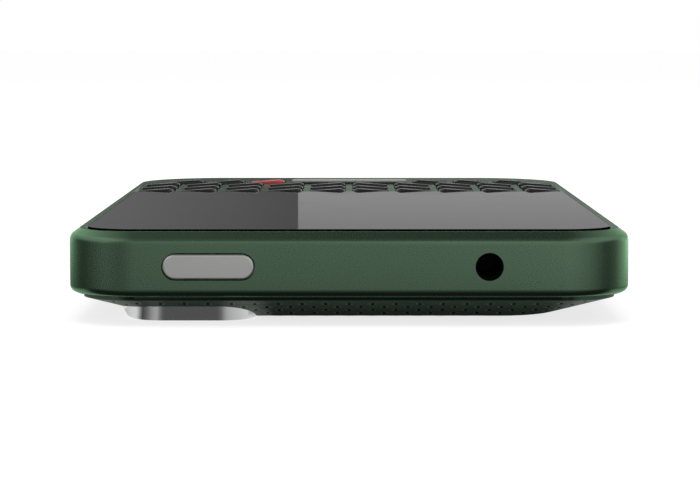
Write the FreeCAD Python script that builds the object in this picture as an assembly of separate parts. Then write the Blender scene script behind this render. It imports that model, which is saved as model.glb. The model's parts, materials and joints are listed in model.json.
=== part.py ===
"""A slab smartphone with a fixed keyboard below its display, as separate pieces in millimetres.

Frame: +X is to the right of someone who reads the display, +Y towards the top edge, +Z out of the display.
The origin lies below the middle of the phone, where z = 0 is the camera bezel's face that it rests on.
"""

import FreeCAD, Part
import math
import os

V = FreeCAD.Vector

# Outside of the phone
width = 78.6
length = 131.5
top_corner_r = 9.6
bottom_corner_r = 16.0
front_z = 13.0
bevel_in = 1.45
bevel_foot_in = 0.32
bevel_drop = 0.85
bevel_blend_drop = 0.95
frame_wall = 2.0
frame_back_z = 3.65
frame_back_in = 1.6
frame_back_rise = 1.4
round_steps = 3

# Display
glass_side_rim = 2.6
glass_top_rim = 2.6
glass_corner_r = 7.0
glass_low_corner_r = 1.5
glass_thick = 1.0
glass_proud = 0.12
glass_ledge = 1.5
glue = 0.1
panel_thick = 1.7
panel_edge_gap = 0.6
sensor_strip = 5.8

# Keyboard
key_pitch_y = 8.65
key_gap_x = 1.35
key_gap_y = 1.35
keys_side_in = 2.975
keys_bottom_in = 11.7
key_columns = 10
upper_rows = 3
space_columns = 3
keys_beside_space = 3
glass_to_keys = 1.05
deck_thick = 1.9
key_low = 0.28
key_crest = 0.66
key_crest_share = 0.75
key_end_in = 0.3
key_end_drop = 0.3
key_fall = 0.2
key_corner = 0.45
key_blob_corner = 0.85
space_height = 0.5
key_clearance = 0.12
key_flange = 0.35
key_flange_thick = 0.45
key_seat_gap = 0.03
plunger_side = 1.8
plunger_drop = 0.2
key_travel = 0.4
dome_r = 2.0
dome_height = 0.2
dome_sides = 6
dome_board_thick = 0.55

# Structure behind the display and keys
plate_thick = 0.75
plate_gap = 0.05
fit_gap = 0.2
board_thick = 1.0
board_gap = 0.05
board_side_in = 1.0
board_top_in = 4.8
shield_height = 1.7
shield_side_in = 5.0
shield_apart = 3.0
battery_side_in = 11.3
battery_length = 66.0
battery_to_speaker = 3.2
battery_low_gap = 1.0
battery_to_board = 2.0
past = 1.0  # how far a cutting form runs past what it cuts
pill_round = 0.999  # share of a half circle at the ends of a pill, which leaves a short straight stretch

# Back cover
seam = 0.32
cover_edge_in = 1.95
cover_flat_in = 10.6
cover_flat_z = 0.15
cover_top_r = 7.0
cover_bottom_r = 11.0
cover_ridge_r = 6.0
cover_ridge_steps = 2
cover_wall = 1.1
cover_corner_share = 0.7
cover_rib_height = 1.45
cover_rib_wall = 0.9
cover_rib_gap = 0.15

# Camera
bezel_side = 18.1
bezel_corner_r = 5.1
bezel_side_in = 8.05
bezel_top_in = 6.3
bezel_draft = 0.55
bezel_depth = 3.1
bezel_gap = 0.1
lens_glass_r = 5.4
lens_glass_thick = 0.8
lens_glass_sunk = 0.08
lens_seat = 0.5
camera_side = 10.6
camera_height = 4.1
camera_barrel_r = 4.3
camera_sides = 16
flash_r = 1.25
flash_out = 5.2
flash_thick = 1.5
front_camera_r = 2.5
front_camera_x = -9.0
earpiece_x = 6.0
earpiece_width = 13.0
earpiece_depth = 3.6

# Top edge
power_width = 12.6
power_height = 3.5
power_side_in = 19.97
edge_controls_z = 8.17
button_gap = 0.15
button_proud = 0.35
button_flange = 0.4
button_flange_thick = 0.6
button_travel = 0.3
jack_side_in = 20.03
jack_mouth_r = 1.94
jack_bore_r = 1.8
jack_bore_length = 14.0
jack_body_width = 6.4
jack_body_height = 4.0
jack_body_length = 15.0
jack_snout_r = 2.4
jack_snout_gap = 0.03
jack_lead_in = 1.0

# Sides
rocker_length = 20.0
rocker_height = 2.8
rocker_to_screw = 9.25
rocker_end_gap = 0.25
tray_face_length = 14.2
tray_face_height = 1.7
tray_face_thick = 1.4
tray_width = 12.6
tray_depth = 15.0
tray_thick = 0.9
tray_z = 6.45
tray_gap = 0.1
card_length = 12.3
card_width = 8.8
card_pocket = 0.6
tray_pin_r = 0.4
tray_pin_in = 1.5
tray_pin_depth = 1.0

# Bottom edge
port_z = 6.7
port_mouth_width = 8.34
port_mouth_height = 2.56
port_shell = 0.3
port_depth = 7.3
port_floor = 0.6
port_gap = 0.15
port_sunk = 0.1
tongue_width = 6.69
tongue_thick = 0.7
tongue_length = 5.0
speaker_to_screw = 0.63
speaker_width = 18.0
speaker_length = 8.4
speaker_height = 3.7
sound_hole_r = 0.6
sound_hole_pitch = 2.6
sound_holes = 5
sound_hole_sides = 10
microphone_x = -9.0
microphone_r = 0.5
motor_side_in = 14.3
motor_r = 4.0
motor_height = 3.0
motor_sides = 16

# Fasteners
screw_r = 0.5
screw_head_r = 0.95
screw_head_height = 0.5
screw_grip = 1.2
screw_hole_gap = 0.1
thread_gap = 0.03
screw_sides = 8
screw_top_in = 4.0
screw_low_in = 5.0
chin_screw_gap = 2.0

# Worked out from the sizes above
half_w = width / 2
half_l = length / 2
glass_z1 = front_z + glass_proud
glass_z0 = glass_z1 - glass_thick
ledge_z = glass_z0 - glue
glass_x = half_w - glass_side_rim
glass_y1 = half_l - glass_top_rim
key_pitch_x = (width - 2 * keys_side_in + key_gap_x) / key_columns
key_w = key_pitch_x - key_gap_x
key_l = key_pitch_y - key_gap_y
keys_x = half_w - keys_side_in
keys_y0 = keys_bottom_in - half_l
keys_y1 = keys_y0 + key_pitch_y * upper_rows + key_l
glass_y0 = keys_y1 + glass_to_keys
well_x = glass_x - glass_ledge
well_y1 = glass_y1 - glass_ledge
well_y0 = glass_y0 + glass_ledge
panel_z1 = glass_z0 - board_gap
panel_z0 = panel_z1 - panel_thick
platform_z = panel_z0 - glue
deck_z0 = front_z - deck_thick
key_well_x = keys_x + key_flange + key_clearance
key_well_y1 = keys_y1 + key_flange + key_clearance
key_well_y0 = keys_y0 - key_flange - key_clearance
flange_z1 = deck_z0 - key_seat_gap
flange_z0 = flange_z1 - key_flange_thick
plunger_z = flange_z0 - plunger_drop
dome_z = plunger_z - key_travel - key_seat_gap
dome_board_z1 = dome_z - dome_height
dome_board_z0 = dome_board_z1 - dome_board_thick
plate_z1 = dome_board_z0 - board_gap
plate_z0 = plate_z1 - plate_thick
step_z = plate_z1 + plate_gap
inner_x = half_w - frame_wall
inner_y = half_l - frame_wall
cover_edge_z = frame_back_z - seam
bezel_x = half_w - bezel_side_in - bezel_side / 2
bezel_y = half_l - bezel_top_in - bezel_side / 2
power_x = half_w - power_side_in
jack_x = jack_side_in - half_w
rocker_y = well_y0 + screw_low_in + rocker_to_screw + rocker_length / 2
under_plate_z = plate_z0 - board_gap
board_z0 = under_plate_z - board_thick
screw_x = (well_x + inner_x) / 2
strip_y = well_y1 - sensor_strip / 2
motor_x = motor_side_in + motor_r - half_w
battery_width = width - 2 * battery_side_in
low_row_y0 = cover_rib_gap + cover_rib_wall + glue - inner_y
battery_y0 = low_row_y0 + max(speaker_length, 2 * motor_r) + battery_to_speaker
battery_y1 = battery_y0 + battery_length
board_y0 = battery_y1 + battery_to_board
tray_y = (battery_y1 + bezel_y - camera_side / 2) / 2
jack_y0 = inner_y - jack_body_length - fit_gap
chin_screw_x = port_mouth_width / 2 + port_shell + screw_head_r + chin_screw_gap
chin_screw_y = (key_well_y0 - inner_y) / 2
speaker_x = chin_screw_x + screw_head_r + speaker_to_screw + speaker_width / 2


def level(z):
    """Maps a flat outline onto the plane at height z."""
    return lambda u, v: V(u, v, z)


def facing_y(y):
    """Maps a flat outline onto the upright plane at y, with v as height."""
    return lambda u, v: V(u, y, v)


def facing_x(x):
    """Maps a flat outline onto the upright plane at x, with v as height."""
    return lambda u, v: V(x, u, v)


def rounded_wire(u0, u1, v0, v1, radii, at):
    """Closed outline of a rectangle with rounded corners, one radius for each corner.

    The radii run from the corner at u1, v1 round to the corner at u1, v0, by way of u0.
    """
    corners = [(u1, v1, -1, -1, 0), (u0, v1, 1, -1, 90), (u0, v0, 1, 1, 180), (u1, v0, -1, 1, 270)]
    arcs = []
    for (u, v, du, dv, start), r in zip(corners, radii):
        centre = (u + du * r, v + dv * r)
        turn = [math.radians(start + a) for a in (0, 45, 90)]
        arcs.append([at(centre[0] + r * math.cos(a), centre[1] + r * math.sin(a)) for a in turn])
    edges = []
    for i, points in enumerate(arcs):
        edges.append(Part.Arc(*points).toShape())
        following = arcs[(i + 1) % len(arcs)][0]
        if points[2].distanceToPoint(following) > 1e-6:
            edges.append(Part.makeLine(points[2], following))
    return Part.Wire(edges)


def bevelled_wire(u0, u1, v0, v1, corners, at):
    """Closed outline of a rectangle with cut corners, in the same order as rounded_wire's radii."""
    a, b, c, d = corners
    points = [at(u1, v1 - a), at(u1 - a, v1), at(u0 + b, v1), at(u0, v1 - b),
              at(u0, v0 + c), at(u0 + c, v0), at(u1 - d, v0), at(u1, v0 + d)]
    return Part.makePolygon(points + points[:1])


def box(x0, x1, y0, y1, z0, z1):
    return Part.makeBox(x1 - x0, y1 - y0, z1 - z0, V(x0, y0, z0))


def prism(wire, direction):
    return Part.Face(wire).extrude(direction)


def plate(x0, x1, y0, y1, z0, z1, low_r, high_r):
    """A flat plate whose low-Y corners have low_r and whose high-Y corners have high_r."""
    radii = (high_r, high_r, low_r, low_r)
    return prism(rounded_wire(x0, x1, y0, y1, radii, level(z0)), V(0, 0, z1 - z0))


def pill_y(x, z, wide, high, y0, y1):
    """A bar with round ends, wide along X, that runs along Y."""
    r = high / 2 * pill_round
    wire = rounded_wire(x - wide / 2, x + wide / 2, z - high / 2, z + high / 2, (r, r, r, r), facing_y(y0))
    return prism(wire, V(0, y1 - y0, 0))


def pill_x(y, z, wide, high, x0, x1):
    """A bar with round ends, wide along Y, that runs along X."""
    r = high / 2 * pill_round
    wire = rounded_wire(y - wide / 2, y + wide / 2, z - high / 2, z + high / 2, (r, r, r, r), facing_x(x0))
    return prism(wire, V(x1 - x0, 0, 0))


def rod_z(x, y, r, z0, z1):
    return Part.makeCylinder(r, z1 - z0, V(x, y, z0))


def many_sided(u, v, r, sides, at, along):
    """A small round part or hole with a few flat sides, which keeps the model light."""
    turns = [2 * math.pi * (n + 0.5) / sides for n in range(sides + 1)]
    return prism(Part.makePolygon([at(u + r * math.cos(a), v + r * math.sin(a)) for a in turns]), along)


def peg(x, y, r, z0, z1, sides):
    return many_sided(x, y, r, sides, level(z0), V(0, 0, z1 - z0))


def rod_y(x, z, r, y0, y1):
    return Part.makeCylinder(r, y1 - y0, V(x, y0, z), V(0, 1, 0))


def phone_plan(inset, z0, z1):
    """The phone's own outline, drawn in by inset, from z0 to z1."""
    return plate(-half_w + inset, half_w - inset, -half_l + inset, half_l - inset, z0, z1,
                 bottom_corner_r - inset, top_corner_r - inset)


def frame_wire(inset, z):
    radii = [top_corner_r - inset] * 2 + [bottom_corner_r - inset] * 2
    return rounded_wire(-half_w + inset, half_w - inset, -half_l + inset, half_l - inset, radii, level(z))


def keyboard():
    """Every key as name, centre x, near edge y and width, row by row from the display down."""
    keys = []
    for row in range(upper_rows):
        for column in range(key_columns):
            x = (column - (key_columns - 1) / 2) * key_pitch_x
            keys.append((f"key_r{row + 1}_{column + 1:02d}", x, keys_y1 - row * key_pitch_y, key_w))
    space_w = space_columns * key_pitch_x - key_gap_x
    near = keys_y1 - upper_rows * key_pitch_y
    keys.append(("space_bar", 0.0, near, space_w))
    for side, sign in (("left", -1), ("right", 1)):
        for n in range(keys_beside_space):
            x = sign * ((space_columns + 1) / 2 + n) * key_pitch_x
            keys.append((f"key_r{upper_rows + 1}_{side}_{n + 1}", x, near, key_w))
    return keys


def outer_shell():
    """The frame's outside from back to front: elliptic edge, upright band, blended bevel."""
    sections = []
    for n in range(round_steps + 1):
        turn = math.pi / 2 * n / round_steps
        sections.append((frame_back_in * (1 - math.sin(turn)),
                         frame_back_z + frame_back_rise * (1 - math.cos(turn))))
    blend_z = front_z - bevel_drop - bevel_blend_drop
    sections += [(0, blend_z), (bevel_foot_in / 4, blend_z + bevel_blend_drop / 2),
                 (bevel_foot_in, front_z - bevel_drop), (bevel_in, front_z)]
    return Part.makeLoft([frame_wire(inset, z) for inset, z in sections], True, True)


def front_frame():
    """Band, rim and key deck in one piece, open behind for the mid plate and the parts under it."""
    body = outer_shell()
    cuts = [
        phone_plan(frame_wall, 0, step_z),
        plate(-glass_x - glue, glass_x + glue, glass_y0 - glue, glass_y1 + glue, ledge_z, front_z + past,
              glass_low_corner_r + glue, glass_corner_r + glue),
        plate(-well_x, well_x, well_y0, well_y1, step_z - past, front_z, glass_low_corner_r,
              glass_corner_r - glass_ledge),
        box(-key_well_x, key_well_x, key_well_y0, key_well_y1, step_z - past, deck_z0),
    ]
    for _, x, near, w in keyboard():
        cuts.append(key_plan(x, near, w, key_clearance, deck_z0 - past, front_z + past))
    cuts += edge_openings()
    for x, y in screw_places():
        cuts.append(peg(x, y, screw_r + thread_gap, step_z - past, step_z + screw_grip, screw_sides))
    return body.cut(cuts)


def edge_openings():
    """Holes and slots through the band, and the pockets behind them for the controls' flanges."""
    reach = frame_wall + past
    flange = button_flange + button_gap
    holes = [
        pill_y(power_x, edge_controls_z, power_width + 2 * button_gap, power_height + 2 * button_gap,
               half_l - reach, half_l + past),
        box(power_x - power_width / 2 - flange, power_x + power_width / 2 + flange,
            inner_y - button_flange_thick - button_travel - 2 * button_gap, inner_y,
            edge_controls_z - power_height / 2 - flange, edge_controls_z + power_height / 2 + flange),
        *jack_openings(),
        pill_x(rocker_y, edge_controls_z, rocker_length + 2 * rocker_end_gap,
               rocker_height + 2 * button_gap, -half_w - past, -half_w + reach),
        rocker_pocket(0),
        pill_x(tray_y, tray_z, tray_face_length + 2 * tray_gap, tray_face_height + 2 * tray_gap,
               half_w - reach, half_w + past),
        pill_y(0, port_z, port_mouth_width + 2 * (port_shell + port_gap),
               port_mouth_height + 2 * (port_shell + port_gap), -half_l - past, -half_l + reach),
    ]
    small = [(speaker_x + (n - (sound_holes - 1) / 2) * sound_hole_pitch, sound_hole_r)
             for n in range(sound_holes)]
    small.append((microphone_x, microphone_r))
    for x, r in small:
        holes.append(many_sided(x, port_z, r, sound_hole_sides, facing_y(-half_l - past),
                                V(0, reach + past, 0)))
    return holes


def jack_openings():
    """Conical lead-in at the mouth, the seat of the socket's snout and room for its body."""
    seat_y = half_l - jack_lead_in
    cone = Part.makeCone(jack_bore_r, jack_mouth_r, jack_lead_in, V(jack_x, seat_y, edge_controls_z),
                         V(0, 1, 0))
    half = jack_body_width / 2 + fit_gap
    top = edge_controls_z + jack_body_height / 2 + fit_gap
    return [cone,
            rod_y(jack_x, edge_controls_z, jack_snout_r, inner_y - past, seat_y),
            box(jack_x - half, jack_x + half, well_y1 - past, inner_y, step_z - past, top)]


def rocker_pocket(spare):
    """Room behind the band for the volume rocker's flange, which swings a little."""
    flange = button_flange + rocker_end_gap + spare
    depth = button_flange_thick + button_travel + button_gap + spare
    return box(-inner_x, -inner_x + depth, rocker_y - rocker_length / 2 - flange,
               rocker_y + rocker_length / 2 + flange, edge_controls_z - rocker_height / 2 - flange,
               edge_controls_z + rocker_height / 2 + flange)


def screw_places():
    """Two screws down each side of the display and two beside the port."""
    upper = [(side * screw_x, y) for side in (-1, 1)
             for y in (well_y1 - glass_corner_r - screw_top_in, well_y0 + screw_low_in)]
    return upper + [(side * chin_screw_x, chin_screw_y) for side in (-1, 1)]


def jack_room(spare):
    return box(jack_x - jack_body_width / 2 - spare, jack_x + jack_body_width / 2 + spare,
               inner_y - jack_body_length - spare, half_l, 0, front_z)


def mid_plate():
    """Cast plate that carries the display, the key board and everything behind them."""
    g = fit_gap
    body = plate(-inner_x + g, inner_x - g, -inner_y + g, well_y1 - g, plate_z0, plate_z1,
                 bottom_corner_r - frame_wall - g, top_corner_r - frame_wall - g)
    platform = plate(-well_x + g, well_x - g, well_y0 + g, well_y1 - g, plate_z0, platform_z,
                     glass_low_corner_r, glass_corner_r - glass_ledge - g)
    cuts = [jack_room(g), rocker_pocket(g),
            peg(front_camera_x, strip_y, front_camera_r + g, 0, front_z, camera_sides)]
    for x, y in screw_places():
        cuts.append(peg(x, y, screw_r + screw_hole_gap, 0, front_z, screw_sides))
    return body.fuse(platform).cut(cuts).removeSplitter()


def display_glass():
    return plate(-glass_x, glass_x, glass_y0, glass_y1, glass_z0, glass_z1, glass_low_corner_r,
                 glass_corner_r)


def display_panel():
    e = panel_edge_gap
    return box(-well_x + e, well_x - e, well_y0 + e, well_y1 - sensor_strip, panel_z0, panel_z1)


def wave_profile(w, x_outer, sign, y):
    """Side view of a key: low at its outer end, rising in a long wave to a crest, then a short drop.

    The wave is two arcs that meet halfway, each level where it ends.
    """
    crest = w * key_crest_share
    rise = key_crest - key_low
    r = (crest * crest + rise * rise) / (4 * rise)
    sag = r - math.sqrt(r * r - crest * crest / 16)

    def at(u, height):
        return V(x_outer - sign * u, y, front_z + height)

    foot = plunger_z - key_fall - front_z
    edges = [
        Part.Arc(at(0, key_low), at(crest / 4, key_low + sag),
                 at(crest / 2, key_low + rise / 2)).toShape(),
        Part.Arc(at(crest / 2, key_low + rise / 2), at(crest * 0.75, key_crest - sag),
                 at(crest, key_crest)).toShape(),
        Part.makeLine(at(crest, key_crest), at(w - key_end_in, key_crest)),
        Part.makeLine(at(w - key_end_in, key_crest), at(w, key_crest - key_end_drop)),
        Part.makeLine(at(w, key_crest - key_end_drop), at(w, foot)),
        Part.makeLine(at(w, foot), at(0, foot)),
        Part.makeLine(at(0, foot), at(0, key_low)),
    ]
    return Part.Wire(edges)


def key_plan(x, near, w, grow, z0, z1):
    """Upright block on a key's outline, grown all round, with a larger cut at its inner near corner."""
    small, large = key_corner, key_blob_corner
    high = (small, small) if w > key_w else (small, large) if x > 0 else (large, small)
    wire = bevelled_wire(x - w / 2 - grow, x + w / 2 + grow, near - key_l - grow, near + grow,
                         high + (small, small), level(z0))
    return prism(wire, V(0, 0, z1 - z0))


def key_base(x, near, w):
    """Flange that keeps a key under the deck, with the plunger that meets its dome."""
    f = key_flange
    flange = box(x - w / 2 - f, x + w / 2 + f, near - key_l - f, near + f, flange_z0, flange_z1)
    middle = near - key_l / 2
    s = plunger_side / 2
    return flange.fuse(box(x - s, x + s, middle - s, middle + s, plunger_z, flange_z0))


def key(x, near, w):
    """One key: the wave-topped cap with a large round corner at its inner near end, on its flange.

    Its top falls a little from the edge near the display to the far edge.
    """
    sign = 1 if x > 0 else -1
    profile = Part.Face(wave_profile(w, x + sign * w / 2, sign, near - key_l - past))
    blade = profile.extrude(V(0, key_l + 2 * past, 0))
    blade.rotate(V(x, near, front_z), V(1, 0, 0), math.degrees(math.atan2(key_fall, key_l)))
    cap = blade.common(key_plan(x, near, w, 0, flange_z0, front_z + past))
    return cap.fuse(key_base(x, near, w)).removeSplitter()


def space_bar(x, near, w):
    """The wide flat bar."""
    cap = key_plan(x, near, w, 0, flange_z0, front_z + space_height)
    return cap.fuse(key_base(x, near, w)).removeSplitter()


def dome_board():
    """Board under the keys with one snap dome for each."""
    board = box(-key_well_x + fit_gap, key_well_x - fit_gap, key_well_y0 + fit_gap,
                key_well_y1 - fit_gap, dome_board_z0, dome_board_z1)
    domes = []
    for _, x, near, _ in keyboard():
        domes.append(peg(x, near - key_l / 2, dome_r, dome_board_z1, dome_z, dome_sides))
    return board.fuse(domes)


def ruled_solid(wires):
    """Solid through level outlines with matching edges, whose straight sides come out flat."""
    faces = [Part.Face(wires[0]), Part.Face(wires[-1])]
    for low, high in zip(wires, wires[1:]):
        for a, b in zip(low.Edges, high.Edges):
            if isinstance(a.Curve, Part.Line):
                corners = [a.firstVertex(True), a.lastVertex(True), b.lastVertex(True), b.firstVertex(True)]
                points = [corner.Point for corner in corners]
                faces.append(Part.Face(Part.makePolygon(points + points[:1])))
            else:
                faces.append(Part.makeRuledSurface(a, b))
    shell = Part.makeShell(faces)
    shell.sewShape()
    return Part.makeSolid(shell)


def cover_section(inset, z):
    """Outline of the back at a depth, whose corners pass evenly from the seam's to those of the flat."""
    share = (inset - cover_edge_in) / (cover_flat_in - cover_edge_in)
    top = (top_corner_r - cover_edge_in) * (1 - share) + cover_top_r * share
    low = (bottom_corner_r - cover_edge_in) * (1 - share) + cover_bottom_r * share
    return rounded_wire(-half_w + inset, half_w - inset, -half_l + inset, half_l - inset,
                        (top, top, low, low), level(z))


def cover_outside():
    """Dished outer form: a sloped border that rolls over a wide ridge into the flat of the back."""
    slope = math.atan2(cover_edge_z - cover_flat_z, cover_flat_in - cover_edge_in)
    reach = cover_ridge_r * math.tan(slope / 2)
    wires = [cover_section(cover_edge_in, cover_edge_z)]
    for n in range(cover_ridge_steps + 1):
        left = slope * (1 - n / cover_ridge_steps)
        wires.append(cover_section(cover_flat_in + reach - cover_ridge_r * math.sin(left),
                                   cover_flat_z + cover_ridge_r * (1 - math.cos(left))))
    return ruled_solid(wires)


def cover_hollow():
    """Room inside the cover, with plain cut corners because nothing shows there."""
    wires = []
    for inset, z, r in ((frame_wall + cover_rib_gap + cover_rib_wall, cover_edge_z, bottom_corner_r),
                        (cover_flat_in + cover_wall, cover_flat_z + cover_wall, cover_bottom_r)):
        cut = r * cover_corner_share
        wires.append(bevelled_wire(-half_w + inset, half_w - inset, -half_l + inset, half_l - inset,
                                   (cut, cut, cut, cut), level(z)))
    return ruled_solid(wires)


def cover_ribs():
    """Locating ribs along the straight stretches of the frame's four sides."""
    x1 = inner_x - cover_rib_gap
    x0 = x1 - cover_rib_wall
    y1 = inner_y - cover_rib_gap
    y0 = y1 - cover_rib_wall
    top_x = half_w - top_corner_r
    low_x = half_w - bottom_corner_r
    z0 = cover_edge_z
    z1 = z0 + cover_rib_height
    ribs = [box(-top_x, top_x, y0, y1, z0, z1), box(-low_x, low_x, -y1, -y0, z0, z1)]
    for low, high in ((-x1, -x0), (x0, x1)):
        ribs.append(box(low, high, -half_l + bottom_corner_r, half_l - top_corner_r, z0, z1))
    return ribs


def back_cover():
    """Removable dished back with its locating ribs and an opening for the camera bezel."""
    shell = cover_outside().cut(cover_hollow())
    return shell.fuse(cover_ribs()).cut(bezel_form(bezel_gap)).removeSplitter()


def bezel_form(grow):
    """Tapered block of the camera bezel, wider towards the inside of the phone.

    With grow it is the opening for that block, larger all round and cut past both ends.
    """
    wires = []
    for z in (-past, bezel_depth + past) if grow else (0.0, bezel_depth):
        half = bezel_side / 2 + grow + bezel_draft * z
        r = bezel_corner_r + grow + bezel_draft * z
        wires.append(rounded_wire(bezel_x - half, bezel_x + half, bezel_y - half, bezel_y + half,
                                  (r, r, r, r), level(z)))
    return Part.makeLoft(wires, True, True)


def flash_place():
    return bezel_x - flash_out, bezel_y - flash_out


def camera_bezel():
    x, y = flash_place()
    seat = lens_glass_sunk + lens_glass_thick + glue
    cuts = [rod_z(bezel_x, bezel_y, lens_glass_r + board_gap, -past, seat),
            peg(bezel_x, bezel_y, lens_glass_r - lens_seat, 0, bezel_depth + past, camera_sides),
            rod_z(x, y, flash_r + board_gap, -past, bezel_depth + past)]
    return bezel_form(0).cut(cuts)


def rear_camera():
    half = camera_side / 2
    barrel_z = lens_glass_sunk + lens_glass_thick + 2 * glue
    body = box(bezel_x - half, bezel_x + half, bezel_y - half, bezel_y + half,
               under_plate_z - camera_height, under_plate_z)
    return body.fuse(peg(bezel_x, bezel_y, camera_barrel_r, barrel_z, under_plate_z - camera_height,
                         camera_sides))


def power_button():
    flange = pill_y(power_x, edge_controls_z, power_width + 2 * button_flange,
                    power_height + 2 * button_flange, inner_y - button_gap / 2 - button_flange_thick,
                    inner_y - button_gap / 2)
    return pill_y(power_x, edge_controls_z, power_width, power_height, inner_y - button_gap,
                  half_l + button_proud).fuse(flange)


def volume_rocker():
    x1 = -inner_x + rocker_end_gap
    flange = pill_x(rocker_y, edge_controls_z, rocker_length + 2 * button_flange,
                    rocker_height + 2 * button_flange, x1, x1 + button_flange_thick)
    return pill_x(rocker_y, edge_controls_z, rocker_length, rocker_height, -half_w - button_proud,
                  x1).fuse(flange)


def sim_tray():
    """Tray with its pill-shaped face, the hole for an eject pin and a pocket for the card."""
    x1 = half_w - tray_face_thick
    body = box(x1 - tray_depth, x1, tray_y - tray_width / 2, tray_y + tray_width / 2,
               tray_z - tray_thick / 2, tray_z + tray_thick / 2)
    margin = (tray_width - card_width) / 2
    card = box(x1 - tray_depth + margin, x1 - tray_depth + margin + card_length,
               tray_y - card_width / 2, tray_y + card_width / 2,
               tray_z + tray_thick / 2 - card_pocket, front_z)
    pin = many_sided(tray_y - tray_face_length / 2 + tray_pin_in, tray_z, tray_pin_r, sound_hole_sides,
                     facing_x(half_w - tray_pin_depth), V(tray_pin_depth + past, 0, 0))
    face = pill_x(tray_y, tray_z, tray_face_length, tray_face_height, x1, half_w)
    return face.fuse(body).cut([card, pin])


def headphone_jack():
    """Socket with its blind bore behind the round hole in the top edge."""
    y1 = inner_y - glue
    body = box(jack_x - jack_body_width / 2, jack_x + jack_body_width / 2, y1 - jack_body_length, y1,
               edge_controls_z - jack_body_height / 2, edge_controls_z + jack_body_height / 2)
    mouth_y = half_l - jack_lead_in
    snout = rod_y(jack_x, edge_controls_z, jack_snout_r - jack_snout_gap, y1, mouth_y)
    bore = rod_y(jack_x, edge_controls_z, jack_bore_r, mouth_y - jack_bore_length, half_l)
    return body.fuse(snout).cut(bore)


def usb_port():
    """Shell with its flat tongue, set into the bottom edge."""
    y0 = -half_l + port_sunk
    shell = pill_y(0, port_z, port_mouth_width + 2 * port_shell, port_mouth_height + 2 * port_shell,
                   y0, y0 + port_depth)
    floor_y = y0 + port_depth - port_floor
    mouth = pill_y(0, port_z, port_mouth_width, port_mouth_height, y0 - past, floor_y)
    tongue = box(-tongue_width / 2, tongue_width / 2, floor_y - tongue_length, floor_y + port_floor / 2,
                 port_z - tongue_thick / 2, port_z + tongue_thick / 2)
    return shell.cut(mouth).fuse(tongue)


def battery():
    return box(-battery_width / 2, battery_width / 2, battery_y0, battery_y1,
               cover_flat_z + cover_wall + battery_low_gap, under_plate_z)


def main_board():
    """Board across the top of the phone, cut out for the headphone socket and the camera."""
    board = box(-inner_x + board_side_in, inner_x - board_side_in, board_y0, inner_y - board_top_in,
                board_z0, under_plate_z)
    half = camera_side / 2 + fit_gap
    camera = box(bezel_x - half, bezel_x + half, bezel_y - half, inner_y, 0, front_z)
    cuts = [jack_room(fit_gap), camera, rocker_pocket(fit_gap)]
    for x, y in screw_places():
        cuts.append(peg(x, y, screw_head_r + fit_gap, 0, front_z, screw_sides))
    return board.cut(cuts)


def board_shields():
    """Two folded metal cans over the circuits."""
    z1 = board_z0 - board_gap
    z0 = z1 - shield_height
    y0 = board_y0 + shield_apart
    left = box(-inner_x + shield_side_in, -shield_apart, y0, jack_y0 - shield_apart, z0, z1)
    right = box(0, inner_x - tray_depth - shield_side_in, y0,
                bezel_y - camera_side / 2 - shield_apart, z0, z1)
    return Part.makeCompound([left, right])


def front_camera():
    return peg(front_camera_x, strip_y, front_camera_r, under_plate_z + board_gap, panel_z1, camera_sides)


def earpiece():
    half = earpiece_width / 2
    return box(earpiece_x - half, earpiece_x + half, strip_y - earpiece_depth / 2,
               strip_y + earpiece_depth / 2, platform_z + board_gap, panel_z1)


def loudspeaker():
    return box(speaker_x - speaker_width / 2, speaker_x + speaker_width / 2, low_row_y0,
               low_row_y0 + speaker_length, under_plate_z - speaker_height, under_plate_z)


def vibration_motor():
    return peg(motor_x, low_row_y0 + motor_r, motor_r, under_plate_z - motor_height, under_plate_z,
               motor_sides)


def plate_screws():
    screws = []
    for x, y in screw_places():
        head = peg(x, y, screw_head_r, plate_z0 - screw_head_height, plate_z0, screw_sides)
        shank = peg(x, y, screw_r, plate_z0, step_z + screw_grip - glue, screw_sides)
        screws.append(head.fuse(shank))
    return Part.makeCompound(screws)


def flash_lens():
    x, y = flash_place()
    return rod_z(x, y, flash_r, lens_glass_sunk, lens_glass_sunk + flash_thick)


def camera_glass():
    return rod_z(bezel_x, bezel_y, lens_glass_r, lens_glass_sunk, lens_glass_sunk + lens_glass_thick)


def all_pieces():
    pieces = {
        "front_frame": front_frame(),
        "mid_plate": mid_plate(),
        "display_glass": display_glass(),
        "display_panel": display_panel(),
        "dome_board": dome_board(),
        "back_cover": back_cover(),
        "camera_bezel": camera_bezel(),
        "camera_glass": camera_glass(),
        "flash_lens": flash_lens(),
        "rear_camera": rear_camera(),
        "front_camera": front_camera(),
        "earpiece": earpiece(),
        "main_board": main_board(),
        "board_shields": board_shields(),
        "battery": battery(),
        "headphone_jack": headphone_jack(),
        "usb_port": usb_port(),
        "loudspeaker": loudspeaker(),
        "vibration_motor": vibration_motor(),
        "plate_screws": plate_screws(),
        "power_button": power_button(),
        "volume_rocker": volume_rocker(),
        "sim_tray": sim_tray(),
    }
    for name, x, near, w in keyboard():
        pieces[name] = space_bar(x, near, w) if name == "space_bar" else key(x, near, w)
    return pieces


os.makedirs("parts", exist_ok=True)
for name, shape in all_pieces().items():
    shape.exportStep(f"parts/{name}.step")
    print(name, "valid" if shape.isValid() else "NOT VALID", len(shape.Solids), round(shape.Volume, 2))
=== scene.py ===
# %% [markdown]
# # A slab smartphone with a real keyboard
#
# The phone lies on its back on a pale table, and the camera looks at it from beyond its top edge.
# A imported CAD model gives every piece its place. Here each visible piece gets the smooth form and
# the finish of the real one, so the CAD pieces that show are replaced by finer ones in the same place.

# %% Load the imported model
import json
import math

import bmesh
import bpy
import numpy as np
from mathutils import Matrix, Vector
from mathutils.geometry import delaunay_2d_cdt


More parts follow.
